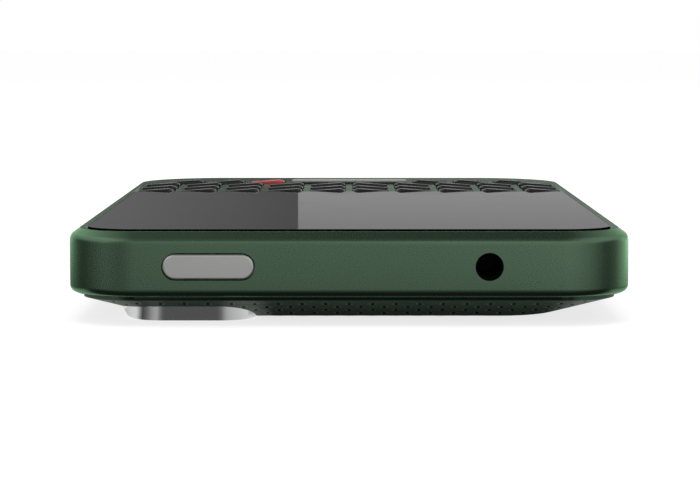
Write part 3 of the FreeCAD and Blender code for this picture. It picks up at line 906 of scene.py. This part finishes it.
# %% Build the keys
def key_finish(name):
    """Material slot and finish of a key."""
    if name == "space_bar":
        return "key_light", key_light_finish
    if name == "key_r4_right_1":
        return "key_red", key_red_finish
    return "key_black", key_black_finish


for name in key_names:
    slot, finish = key_finish(name)
    place(skin("cap_" + name, key_rings(name)), name, slot, finish, name)
print("keys with", len(key_rings("space_bar")), "rings each:", len(key_names))

# %% [markdown]
# ## Buttons on the edges
#
# The power button and the volume rocker are metal bars with round ends and a softly broken edge.

# %% Power button and volume rocker
button_edge_r = 0.3 * MM
button_flange = 0.4 * MM
button_flange_thick = 0.6 * MM


def button(name, node, facing, outer, inner):
    """Bar with round ends on its flange: a rounded outer edge, turned to face out of the phone."""
    def loop_at(inset):
        return control_loop(node, facing, -inset)

    shoulder = inner + button_flange_thick
    flange = [at_height(loop_at(-button_flange), depth) for depth in (inner, shoulder)]
    rings = flange + rounded_top(loop_at, shoulder, outer, button_edge_r)
    return skin(name, turned(rings, *facing))


power_low, power_high = node_box("power_button")
power = button("power_key", "power_button", FACING_TOP, power_high[1], power_low[1])
place(power, "power_button", "silver_metal", silver_finish, "power_button")
rocker_low, rocker_high = node_box("volume_rocker")
rocker = button("volume_key", "volume_rocker", FACING_LEFT, -rocker_low[0], -rocker_high[0])
place(rocker, "volume_rocker", "silver_metal", silver_finish, "volume_rocker")
print("button faces:", len(power.data.polygons), "and", len(rocker.data.polygons))

# %% [markdown]
# ## The back cover
#
# The cover is a shallow dish with a sloped border, dimpled all over in a diamond lattice. The slope is
# found from the plan: every point lies on one outline between the seam and the flat, and how far in that
# outline is gives the height. The dimples are real pits, joined to the surface by a Delaunay mesh.

# %% Form of the cover
cover_edge_in = 1.95 * MM
cover_flat_in = 10.6 * MM
cover_flat_z = 0.15 * MM
cover_top_r = 7.0 * MM
cover_bottom_r = 11.0 * MM
cover_ridge_r = 6.0 * MM
cover_wall = 1.1 * MM
search_end = 1.25
halvings = 26


def cover_radii(share):
    """Corner radii of the outline at a share of the way from the seam to the flat."""
    top = (top_corner_r - cover_edge_in) * (1 - share) + cover_top_r * share
    low = (bottom_corner_r - cover_edge_in) * (1 - share) + cover_bottom_r * share
    return top, low


def cover_inset(points):
    """How far in the outline through each point lies, found by halving the span between two outlines.

    The test is the signed distance to a rounded rectangle: q = |p| - (half - r), then
    length(max(q, 0)) + min(max(q), 0) - r.
    """
    low = np.zeros(len(points))
    high = np.full(len(points), search_end)
    for _ in range(halvings):
        share = (low + high) / 2
        inset = cover_edge_in + share * (cover_flat_in - cover_edge_in)
        top, bottom = cover_radii(share)
        r = np.where(points[:, 1] > 0, top, bottom)
        q = np.abs(points) - np.stack([half_w - inset - r, half_l - inset - r], -1)
        distance = np.linalg.norm(np.maximum(q, 0), axis=1) + np.minimum(q.max(1), 0) - r
        inside = distance < 0
        low = np.where(inside, share, low)
        high = np.where(inside, high, share)
    return cover_edge_in + low * (cover_flat_in - cover_edge_in)


cover_slope = math.atan2(cover_edge_z - cover_flat_z, cover_flat_in - cover_edge_in)
ridge_reach = cover_ridge_r * math.tan(cover_slope / 2)
ridge_start_in = cover_flat_in + ridge_reach - cover_ridge_r * math.sin(cover_slope)
ridge_end_in = cover_flat_in + ridge_reach


def cover_height(points):
    """Height of the cover's outside: a straight slope, an arc of the ridge's radius, then the flat."""
    inset = cover_inset(points)
    slope = cover_edge_z - (inset - cover_edge_in) * math.tan(cover_slope)
    left = np.clip(ridge_end_in - inset, 0, cover_ridge_r)
    arc = cover_flat_z + cover_ridge_r - np.sqrt(cover_ridge_r**2 - left**2)
    return np.where(inset < ridge_start_in, slope, arc)


def cover_loop(inset):
    """Outline of the cover, drawn in by inset from the phone's sides."""
    return outline(inset, *cover_radii((inset - cover_edge_in) / (cover_flat_in - cover_edge_in)))


print("slope of the cover's border in degrees:", round(math.degrees(cover_slope), 1))

# %% Camera opening
bezel_corner_r = 5.1 * MM
bezel_draft = 0.55
bezel_gap = 0.1 * MM


def bezel_loop(height, grow):
    """Outline of the tapered camera bezel at a height, grown all round."""
    centre = middle(bezel_low, bezel_high)
    half = (bezel_high[0] - bezel_low[0]) / 2 - bezel_draft * (bezel_high[2] - height) + grow
    r = bezel_corner_r + bezel_draft * height + grow
    return rounded_loop(centre - half, centre + half, [r] * 4)


def inside_loop(points, loop):
    """Which points lie inside a convex loop: left of each of its edges."""
    edge = np.roll(loop, -1, 0) - loop
    away = points[:, None, :] - loop[None, :, :]
    return (edge[None, :, 0] * away[:, :, 1] - edge[None, :, 1] * away[:, :, 0] > 0).all(1)


bezel_opening = bezel_loop(cover_flat_z, bezel_gap)
print("camera opening in mm:", np.round(np.ptp(bezel_opening, 0) / MM, 2))

# %% [markdown]
# The dimples lie in staggered rows. A bump map could draw them, but from so low a view real pits read as
# dark spots with light lips, which a bump can't give; the pits are also painted, with painted shade inside
# and a painted highlight on their lips. Cutting them out one by one would be slow, so the flat mesh leaves
# their outlines open, and rings that deepen fill each of them.

# %% Lattice of dimples
dimple_pitch = 3.27 * MM
dimple_row = 1.637 * MM
dimple_first_y = half_l - 2.16 * MM
dimple_r = 0.54 * MM
dimple_margin = 1.15
dimple_sides = 8
row_code = 1000


def row_shift(row):
    """Every second row of the lattice is shifted by half a pitch."""
    return (1 - row % 2) * dimple_pitch / 2


def lattice_place(row, column):
    """Where a dimple of the lattice lies."""
    x = column * dimple_pitch + row_shift(row)
    return np.stack(np.broadcast_arrays(x, dimple_first_y - row * dimple_row), -1)


def dimple_centres():
    """Staggered rows over the whole cover, less what touches its edge or the camera's opening."""
    rows = np.arange(math.ceil(2 * half_l / dimple_row))
    side = math.ceil(half_w / dimple_pitch)
    points = lattice_place(rows[:, None], np.arange(-side, side + 1)).reshape(-1, 2)
    ring = circle_loop(0, 0, dimple_r * dimple_margin, 8)
    around = (points[:, None, :] + ring[None]).reshape(-1, 2)
    kept = inside_loop(around, cover_loop(cover_edge_in)) & ~inside_loop(around, bezel_opening)
    return points[kept.reshape(-1, len(ring)).all(1)]


def nearest_place(points):
    """Row and column of the lattice nearest to each point, and one number that stands for both."""
    row = np.rint((dimple_first_y - points[:, 1]) / dimple_row)
    column = np.rint((points[:, 0] - row_shift(row)) / dimple_pitch)
    return row, column, row * row_code + column


def in_pit(points, pits, reach):
    """Which points lie within reach of the lattice's nearest place, where that place has a pit."""
    row, column, code = nearest_place(points)
    taken = np.isin(code, nearest_place(pits)[2])
    return taken & (np.linalg.norm(points - lattice_place(row, column), axis=1) < reach)


pits = dimple_centres()
print(len(pits), "dimples")

# %% Flat mesh between the dimples
guide_insets = (*np.linspace(ridge_start_in, ridge_end_in, 5), 4 * MM, 6.2 * MM)
guide_margin = 1.3
pit_reach = 0.93
spoke_turn = (np.arange(dimple_sides) + 0.5) * 2 * np.pi / dimple_sides
spokes = np.stack([np.cos(spoke_turn), np.sin(spoke_turn)], -1)


def triangulate(points, loops):
    """Delaunay triangles over flat points, held to closed loops that are runs of those points."""
    edges = []
    for start, size in loops:
        edges += [(start + n, start + (n + 1) % size) for n in range(size)]
    made = delaunay_2d_cdt([Vector(p) for p in (points / MM).tolist()], edges, [], 0, 1e-6)
    return np.array([list(v) for v in made[0]]) * MM, np.array(made[2])


def cover_surface(pits):
    """Flat points, and triangles inside the cover's outline and outside the camera's opening and pits.

    Outlines along the ridge and on the slope guide the triangles where the cover bends.
    """
    edge = cover_loop(cover_edge_in)
    rims = (pits[:, None, :] + dimple_r * spokes[None]).reshape(-1, 2)
    guides = np.concatenate([cover_loop(inset) for inset in guide_insets])
    guides = guides[~inside_loop(guides, bezel_loop(cover_flat_z, 3 * bezel_gap))]
    if len(pits):
        nearest = np.linalg.norm(guides[:, None, :] - pits[None], axis=-1).min(1)
        guides = guides[nearest > dimple_r * guide_margin]
    start = len(edge) + len(bezel_opening)
    loops = [(0, len(edge)), (len(edge), len(bezel_opening))]
    loops += [(start + n * dimple_sides, dimple_sides) for n in range(len(pits))]
    points, triangles = triangulate(np.concatenate([edge, bezel_opening, rims, guides]), loops)
    centres = points[triangles].mean(1)
    keep = inside_loop(centres, edge) & ~inside_loop(centres, bezel_opening)
    keep &= ~in_pit(centres, pits, dimple_r * pit_reach)
    return points, triangles[keep]


# %% Pits
# Ring tones: 1 is the lip's painted highlight, -1 painted shade inside the pit.
dimple_rings = ((1.0, 0.0, 0.0), (0.94, 0.01, 1.0), (0.55, 0.03, 1.0), (0.5, 0.05, -1.0),
                (0.45, 0.28, -1.0))
dimple_depth = 0.34 * MM
lip_highlight = 2.2
lip_highlight_lean = 0.7


def pit_mesh(pits):
    """Points, faces and tones of every pit: rings that narrow and deepen, then a middle point.

    Each ring has a share of the radius, a depth in mm and a tone. A tone of 1 marks the lip's painted
    highlight and -1 the painted shade inside. The highlight is painted across the phone and not along it,
    as side light falls, and stronger on its side towards the middle: cos squared of the angle, less a
    share of cos cubed times the distance from the middle.
    """
    across = spokes[None, :, 0]
    # Painted highlight on the lip, strongest where it faces across the phone.
    lip = across**2 * (lip_highlight - lip_highlight_lean * across * pits[:, :1] / half_w) - 1
    points = []
    tones = []
    for share, depth, tone in dimple_rings:
        ring = (pits[:, None, :] + share * dimple_r * spokes[None]).reshape(-1, 2)
        points.append(at_height(ring, cover_height(ring) + depth * MM))
        tones.append(lip.ravel() if tone > 0 else np.full(len(ring), tone))
    points.append(at_height(pits, cover_height(pits) + dimple_depth))
    tones.append(np.full(len(pits), -1.0))
    count = len(pits)
    step = count * dimple_sides
    k = np.arange(count)[:, None] * dimple_sides
    j = np.arange(dimple_sides)[None, :]
    following = (j + 1) % dimple_sides
    faces = []
    for n in range(len(dimple_rings) - 1):
        outer, inner = n * step, (n + 1) * step
        quads = np.stack([outer + k + j, inner + k + j, inner + k + following, outer + k + following], -1)
        faces += quads.reshape(-1, 4).tolist()
    last = (len(dimple_rings) - 1) * step
    hub = np.broadcast_to(len(dimple_rings) * step + np.arange(count)[:, None], (count, dimple_sides))
    fans = np.stack([last + k + j, hub, last + k + following], -1)
    return np.concatenate(points), faces + fans.reshape(-1, 3).tolist(), np.concatenate(tones)


# %% Edge of the cover
cover_lit_edge = 0.03 * MM
# Painted shade on the seam walls, and where it starts to fade as the edge turns.
seam_shade = -0.85
seam_level = 0.95


def seam_painted_shade(loop):
    """Painted shade of the seam: full where the edge runs across the phone, fading as it turns to the lit
    sides.
    """
    along = np.roll(loop, -1, 0) - np.roll(loop, 1, 0)
    level = np.abs(along[:, 0]) / np.linalg.norm(along, axis=1)
    return seam_shade * np.clip((level - seam_level) / (1 - seam_level), 0, 1)


def edge_parts(loop, dark, inward):
    """Wall of the cover along a loop: a thin strip that catches light, then the rest in painted shade."""
    z = cover_height(loop)
    quads = ring_quads(2, len(loop))
    faces = (quads[:, ::-1] if inward else quads).tolist()
    parts = []
    for low, high in ((0, cover_lit_edge), (cover_lit_edge, cover_wall)):
        points = np.concatenate([at_height(loop, z + low), at_height(loop, z + high)])
        parts.append((points, faces, np.concatenate([dark * (low > 0), dark])))
    return parts


# %% The whole cover
merge_reach = 0.002 * MM


def cover_parts():
    """Points, faces and tones of all parts of the cover, which share their border points."""
    outer, outer_faces = cover_surface(pits)
    inner, inner_faces = cover_surface(pits[:0])
    parts = [
        pit_mesh(pits),
        (at_height(outer, cover_height(outer)), outer_faces[:, ::-1].tolist(), np.zeros(len(outer))),
        (at_height(inner, cover_height(inner) + cover_wall), inner_faces.tolist(), np.zeros(len(inner))),
    ]
    edge = cover_loop(cover_edge_in)
    # Both walls carry painted shade: the seam's fades at the corners, the camera opening's is full all
    # round.
    parts += edge_parts(edge, seam_painted_shade(edge), inward=False)
    return parts + edge_parts(bezel_opening, np.full(len(bezel_opening), seam_shade), inward=True)


def back_cover_mesh():
    """The cover's parts as one mesh, whose borders are merged."""
    points, faces, tones = [], [], []
    start = 0
    for part_points, part_faces, part_tones in cover_parts():
        points.append(part_points)
        faces += [[start + n for n in face] for face in part_faces]
        tones.append(part_tones)
        start += len(part_points)
    piece = make_object("cover_shell", np.concatenate(points), faces)
    mark = piece.data.attributes.new("pit", "FLOAT", "POINT")
    mark.data.foreach_set("value", np.concatenate(tones))
    work = bmesh.new()
    work.from_mesh(piece.data)
    bmesh.ops.remove_doubles(work, verts=work.verts, dist=merge_reach)
    loose = [v for v in work.verts if not v.link_faces]
    bmesh.ops.delete(work, geom=loose, context="VERTS")
    open_edges = sum(1 for e in work.edges if len(e.link_faces) != 2)
    work.to_mesh(piece.data)
    work.free()
    print("cover faces:", len(piece.data.polygons), "open edges:", open_edges)
    return piece


back_cover = back_cover_mesh()
place(back_cover, "phone", "green_cover", cover_finish, "back_cover")

# %% [markdown]
# ## The camera bezel
#
# A polished block that tapers outwards. Its outer edge is rounded over, which is what gives the bright
# lines at its corners. The seats for the glass and the flash are cut after.

# %% Camera bezel
bezel_edge_r = 0.5 * MM
lens_r = 5.4 * MM
lens_gap = 0.05 * MM
lens_ledge = 0.5 * MM
lens_seat_z = 0.98 * MM
flash_r = 1.25 * MM
lens_x, lens_y = middle(*node_box("camera_glass"))[:2]
flash_x, flash_y = middle(*node_box("flash_lens"))[:2]


def bezel_rings():
    """Rings from the outer face in: a quarter circle over the edge, then the tapered wall."""
    turn = np.linspace(np.pi / 2, 0, 7)
    grows = -bezel_edge_r * (1 - np.cos(turn))
    heights = bezel_edge_r * (1 - np.sin(turn))
    rings = [at_height(bezel_loop(z, grow), z) for z, grow in zip(heights, grows)]
    return rings + [at_height(bezel_loop(bezel_high[2], 0), bezel_high[2])]


bezel = skin("lens_bezel", bezel_rings())
bezel_past = bezel_high[2] + past
seats = [
    block("cutter", circle_loop(lens_x, lens_y, lens_r + lens_gap, 96), -past, lens_seat_z),
    block("cutter", circle_loop(lens_x, lens_y, lens_r - lens_ledge, 96), 0, bezel_past),
    block("cutter", circle_loop(flash_x, flash_y, flash_r + lens_gap, 40), -past, bezel_past),
]
carve(bezel, seats)
place(bezel, "phone", "chrome", chrome_finish, "camera_bezel")
print("bezel faces:", len(bezel.data.polygons))

# %% [markdown]
# ## Finishes of the pieces inside
#
# What the covers hide keeps its CAD form and gets a plain but real finish.

# %% Inner finishes
finish_of_slot = {
    "green_metal": green_metal_finish,
    "silver_metal": silver_finish,
    "chrome": chrome_finish,
    "plate_steel": steel_finish,
    "display_glass": display_finish,
    "green_cover": cover_finish,
    "socket_black": socket_finish,
    "key_black": key_black_finish,
    "key_light": key_light_finish,
    "key_red": key_red_finish,
    "lens_glass": key_plastic("lens_glass", colour(10, 10, 14), colour(14, 14, 20), 0.02),
}
steels = {
    "cast_metal": ((150, 151, 153), (170, 171, 173), 0.45),
    "screw_steel": ((100, 100, 102), (120, 120, 122), 0.35),
    "port_steel": ((130, 130, 132), (150, 150, 152), 0.25),
    "battery_foil": ((104, 104, 107), (120, 120, 123), 0.3),
}
plastics = {
    "board": ((16, 70, 52), (22, 84, 62), 0.35),
    "display_panel": ((14, 14, 15), (20, 20, 21), 0.2),
    "camera_black": ((12, 12, 13), (20, 20, 21), 0.5),
    "flash_plastic": ((232, 228, 205), (240, 236, 215), 0.2),
}
for slot, (dark, light, roughness) in steels.items():
    finish_of_slot[slot] = plated_steel(slot, colour(*dark), colour(*light), roughness)
for slot, (dark, light, roughness) in plastics.items():
    finish_of_slot[slot] = matt_plastic(slot, colour(*dark), colour(*light), roughness)

# %% Finish of every CAD piece
slot_of_node = {entry["node"]: entry["material_slot"] for entry in frame["record"]["subparts"]}
for name, node in frame["nodes"].items():
    node.data.materials.clear()
    node.data.materials.append(finish_of_slot[slot_of_node[name]])
print(len(finish_of_slot), "finishes for", len(slot_of_node), "CAD pieces")

# %% [markdown]
# ## Table, background and light
#
# The table is pale and keeps the phone's soft shadow. It looks lighter to the camera and in
# reflections than it is to the light that bounces from it, so the underside stays dark as in a large
# studio. Grey cards beyond the picture's edge are seen only in reflections: they give the glass and the
# deck the grey that a dim room would.

# %% Table
shadow_share = 0.3
table_bounce = 0.5
table_white = 0.9
table_glow = 1.1
table_half = 6.0
table_z = -0.02 * MM


def table_finish():
    """White that keeps part of its shading for the camera, and a plain grey for the light's bounce."""
    shader = Shader("table", roughness=0.9)
    shader.set("Specular IOR Level", 0.0)
    seen = shader.seen()
    shader.set("Base Color", shader.mix(seen, (*[table_bounce] * 3, 1), (*[table_white] * 3, 1)))
    white = shader.node("ShaderNodeEmission", {}, {"Strength": table_glow})
    shaded = Wire(shader, shader.surface.outputs[0])
    blend = shader.node("ShaderNodeMixShader", {}, {0: seen * (1 - shadow_share), 1: shaded, 2: white})
    shader.feed(shader.tree.nodes["Material Output"].inputs["Surface"], blend)
    return shader.material


corners = [(x * table_half, y * table_half, table_z) for x, y in ((-1, -1), (1, -1), (1, 1), (-1, 1))]
table = make_object("table_top", corners, [(0, 1, 2, 3)])
table.data.materials.append(table_finish())
print("side of the table in m:", 2 * table_half)

# %% World
room_light = 0.8

world = bpy.data.worlds.new("studio")
bpy.context.scene.world = world
world.use_nodes = True
world.cycles.sampling_method = "NONE"
sky = Nodes(world.node_tree)
background = world.node_tree.nodes["Background"]
sky.feed(background.inputs["Color"], (1, 1, 1, 1))
sky.feed(background.inputs["Strength"], sky.node("ShaderNodeMapRange", {}, {
    "Value": sky.seen(), "To Min": room_light, "To Max": 1.0}))
print("light of the room:", room_light)

# %% Softbox
softbox_place = Vector((0.0, -0.1, 0.9))
softbox_side = 0.8
softbox_power = 6.0

softbox_data = bpy.data.lights.new("softbox_above", "AREA")
softbox_data.size = softbox_side
softbox_data.energy = softbox_power
softbox = bpy.data.objects.new("softbox_above", softbox_data)
softbox.location = softbox_place
softbox.rotation_euler = (-softbox_place).to_track_quat("-Z", "Y").to_euler()
softbox.visible_camera = False
softbox.visible_glossy = False
bpy.context.scene.collection.objects.link(softbox)
print("softbox in watts:", softbox_power)

# %% [markdown]
# Polished and brushed surfaces show the room more than they show the lamp. So cards stand round the
# phone as they would in a studio, each in its own grey, and only mirror rays see them. Those at the far
# end are what the glass, the deck and the keys mirror: dark low down, grey above and light at the top.

# %% Reflection cards
room = 1.2


def reflection_card(name, points, greys, faces):
    """Card that only mirror rays see, with a grey at each of its points."""
    card = make_object(name, points, faces)
    tone = card.data.color_attributes.new("grey", "FLOAT_COLOR", "POINT")
    tone.data.foreach_set("color", np.repeat(np.array(greys, float), 4))
    material = bpy.data.materials.new(name)
    material.use_nodes = True
    glow = Nodes(material.node_tree)
    glow.tree.nodes.remove(glow.tree.nodes["Principled BSDF"])
    grey = glow.node("ShaderNodeAttribute", {"attribute_name": "grey"}, output="Color")
    light = glow.node("ShaderNodeEmission", {}, {"Color": grey})
    glow.feed(glow.tree.nodes["Material Output"].inputs["Surface"], light)
    card.data.materials.append(material)
    card.visible_camera = False
    card.visible_diffuse = False
    card.visible_shadow = False
    return card


def far_card(name, x0, x1, z0, z1, greys):
    """Upright card at the far end, in one grey or with one at low x0, low x1, high x1 and high x0."""
    corners = [(x0, -room, z0), (x1, -room, z0), (x1, -room, z1), (x0, -room, z1)]
    return reflection_card(name, corners, np.broadcast_to(greys, 4), [(0, 1, 2, 3)])


# %% Cards at the far end
split_x = 0.0332
strip_half = 0.2
strip_z0 = 0.082
strip_z1 = 0.16
high_z = 0.45
ceiling = 0.8

far_card("card_far_low", -strip_half, strip_half, 0, strip_z0, 0.02)
far_card("card_far_dark", split_x, strip_half, strip_z0, strip_z1, (0.105, 0.2, 0.2, 0.105))
far_card("card_far_grey", -strip_half, split_x, strip_z0, strip_z1, (0.385, 0.385, 0.18, 0.18))
far_card("card_far_light", -strip_half, strip_half, strip_z1, high_z, 0.45)
far_card("card_far_high", -strip_half, strip_half, high_z, ceiling, 2.0)
far_card("card_far_right", strip_half, room, 0, ceiling, 1.0)
far_card("card_far_left", -room, -strip_half, 0, ceiling, 1.0)
print("cards stand", room, "m away")

# %% [markdown]
# The side band mirrors whatever stands at the height of the table's horizon, so a studio lights such an
# edge by direction. Soft light comes from behind the camera, a darker flag at each side draws the round
# corners, and light cards beyond the phone give its outer edges a rim. The list below has one grey for
# each direction in degrees from the camera's, and the walls and the far table share it.

# %% Greys of the horizon
horizon = np.array([
    (-180, 2.0), (-140, 2.0), (-105, 0.3), (-80, 0.15), (-45, 0.6), (-5, 0.85), (0, 0.6), (25, 0.3),
    (55, 0.45), (85, 0.25), (105, 0.1), (120, 0.2), (145, 1.2), (180, 1.2)])
flat_half = half_w - top_corner_r


def horizon_grey(x, y):
    """Grey of the horizon in the direction of a place, seen from the nearest point of the top edge."""
    turn = np.degrees(np.arctan2(x - np.clip(x, -flat_half, flat_half), y - half_l))
    return np.interp(turn, horizon[:, 0], horizon[:, 1])


def grid_card(name, x, y, z, grey):
    """Card over a grid of points that run column by column within each row."""
    points = np.stack(np.broadcast_arrays(x, y, z), -1).reshape(-1, 3)
    rows, columns = grey.shape
    j, i = np.meshgrid(np.arange(rows - 1) * columns, np.arange(columns - 1), indexing="ij")
    faces = np.stack([i + j, i + j + 1, i + j + 1 + columns, i + j + columns], -1).reshape(-1, 4)
    return reflection_card(name, points, grey.reshape(-1), faces)


print("grey right behind the camera:", horizon_grey(0, room))

# %% Walls at the sides and behind the camera
wall_steps = 49
wall_foot = -0.3
fade_z0 = 0.25
fade_z1 = 0.45
side_high_grey = 0.9
rear_gain = 1.25


def round_wall():
    """Wall along the sides and behind the camera. Its grey is the horizon's, lighter higher up."""
    along = np.linspace(-room, room, wall_steps)
    end = np.full(wall_steps, room)
    path = np.concatenate([np.stack([-end, along], -1), np.stack([along, end], -1),
                           np.stack([end, along[::-1]], -1)])
    x, z = np.meshgrid(path[:, 0], np.array([wall_foot, fade_z0, fade_z1, ceiling]))
    y = np.broadcast_to(path[:, 1], x.shape)
    low = horizon_grey(x, y)
    high = np.where(y < room, side_high_grey, low * rear_gain)
    grey = low + (high - low) * np.clip((z - fade_z0) / (fade_z1 - fade_z0), 0, 1)
    return grid_card("card_round", x, y, z, grey)


print("points of the round wall:", len(round_wall().data.vertices))

# %% Card overhead
overhead = np.array([(-0.7, 0.8), (-0.35, 0.4), (-0.1, 0.1), (0.1, 0.25), (0.5, 0.8), (0.7, 1.1)])
far_softbox_y = -0.46
far_softbox_half = 0.32
far_softbox_grey = 0.9


def card_overhead():
    """Ceiling whose grey changes across the phone, with a softbox in its far part."""
    x, y = np.meshgrid(np.linspace(-room, room, 97), np.linspace(-room, room, 49))
    grey = np.interp(x, overhead[:, 0], overhead[:, 1])
    grey = np.where((y < far_softbox_y) & (abs(x) < far_softbox_half), far_softbox_grey, grey)
    return grid_card("card_above", x, y, ceiling, grey)


print("points of the ceiling:", len(card_overhead().data.vertices))

# %% [markdown]
# A polished face near the table shows the table right in front of it. So two sheets lie there that only
# mirror rays see: a large one for the band, and a small ring for the camera bezel.

# %% Mirrored table
# Greys of the sheet in front, by distance in mm; the darkest, under the phone's edge, are a painted
# shadow.
fore_greys = np.array([(58, 0.07), (61, 0.1), (63, 0.05), (66, 0.04), (70, 0.04), (79, 0.25)])
beside_grey = 0.9
fine_step = 1.5 * MM
fine_reach = 0.06
fore_start = 0.04
fore_reach = 0.09
deep_end = 0.035
beside_rise = (27.5 * MM, 35 * MM)
beside_fall = (44 * MM, 60 * MM)
beside_end = (59.5 * MM, 63 * MM)
far_fade = (10 * MM, 70 * MM)
card_table_z = -0.01 * MM


def ramp(value, start, end):
    """Smooth rise from 0 at start to 1 at end: t t (3 - 2 t)."""
    t = np.clip((value - start) / (end - start), 0, 1)
    return t * t * (3 - 2 * t)


def widening(start, end):
    """Thirty places from start to end, whose steps widen: their distance grows as a square."""
    return start + (end - start) * np.linspace(0, 1, 30)**2


def mirrored_table():
    """Sheet on the table that only mirror rays see.

    It is dark under the phone, where it paints the phone's shadow for mirrors, grey in front of it, light
    beside its corners, and takes the horizon's grey from 1 cm to 7 cm away.
    """
    side = np.concatenate([np.arange(0, fine_reach, fine_step), widening(fine_reach, room)])
    fore = np.concatenate([np.arange(fore_start, fore_reach, fine_step), widening(fore_reach, room)])
    deep = np.concatenate([np.linspace(-room, deep_end, 12), fore])
    x, y = np.meshgrid(np.concatenate([-side[:0:-1], side]), deep)
    front = np.interp(y / MM, fore_greys[:, 0], fore_greys[:, 1])
    beside = ramp(abs(x), *beside_rise) * (1 - ramp(abs(x), *beside_fall)) * (1 - ramp(y, *beside_end))
    near = front + (beside_grey - front) * beside
    away = np.hypot(x - np.clip(x, -flat_half, flat_half), np.maximum(y - half_l, 0))
    grey = near + (horizon_grey(x, y) - near) * ramp(away, *far_fade)
    return grid_card("card_table", x, y, card_table_z, grey)


print("points of the mirrored table:", len(mirrored_table().data.vertices))

# %% Ring round the camera bezel
ring_greys = np.array([
    (-180, 0.6), (-90, 0.6), (-62, 0.78), (-50, 0.72), (-23, 0.55), (-13, 0.44), (-4, 0.16), (0, 0.1),
    (3, 0.16), (9, 0.42), (16, 0.39), (26, 0.17), (37, 0.06), (50, 0.78), (62, 0.78), (90, 0.6),
    (180, 0.6)])
ring_grows = (-0.4 * MM, 0.4 * MM, 1.0 * MM, 2.2 * MM)
ring_z = -0.005 * MM
lee_turn = math.radians(-58)
lee_share = 0.6


def mirrored_ring():
    """Sheet on the table round the camera bezel, whose grey follows the turn of the bezel's outline.

    A tapered wall mirrors the table right in front of it, so this sheet gives the polish its bright
    corners and its dark flats. Greys are read between the listed turns from the outline's normal.
    """
    loops = [bezel_loop(0, grow) for grow in ring_grows]
    edge = np.roll(loops[0], -1, 0) - np.roll(loops[0], 1, 0)
    turn = np.arctan2(edge[:, 1], -edge[:, 0])
    grey = np.interp(turn, np.radians(ring_greys[:, 0]), ring_greys[:, 1])
    outer = grey * np.where(turn < lee_turn, lee_share, 1.0)
    points = at_height(np.concatenate(loops), ring_z)
    return reflection_card("card_ring", points, np.concatenate([grey, grey, outer, outer]),
                           ring_quads(len(loops), len(grey)))


print("points of the ring:", len(mirrored_ring().data.vertices))
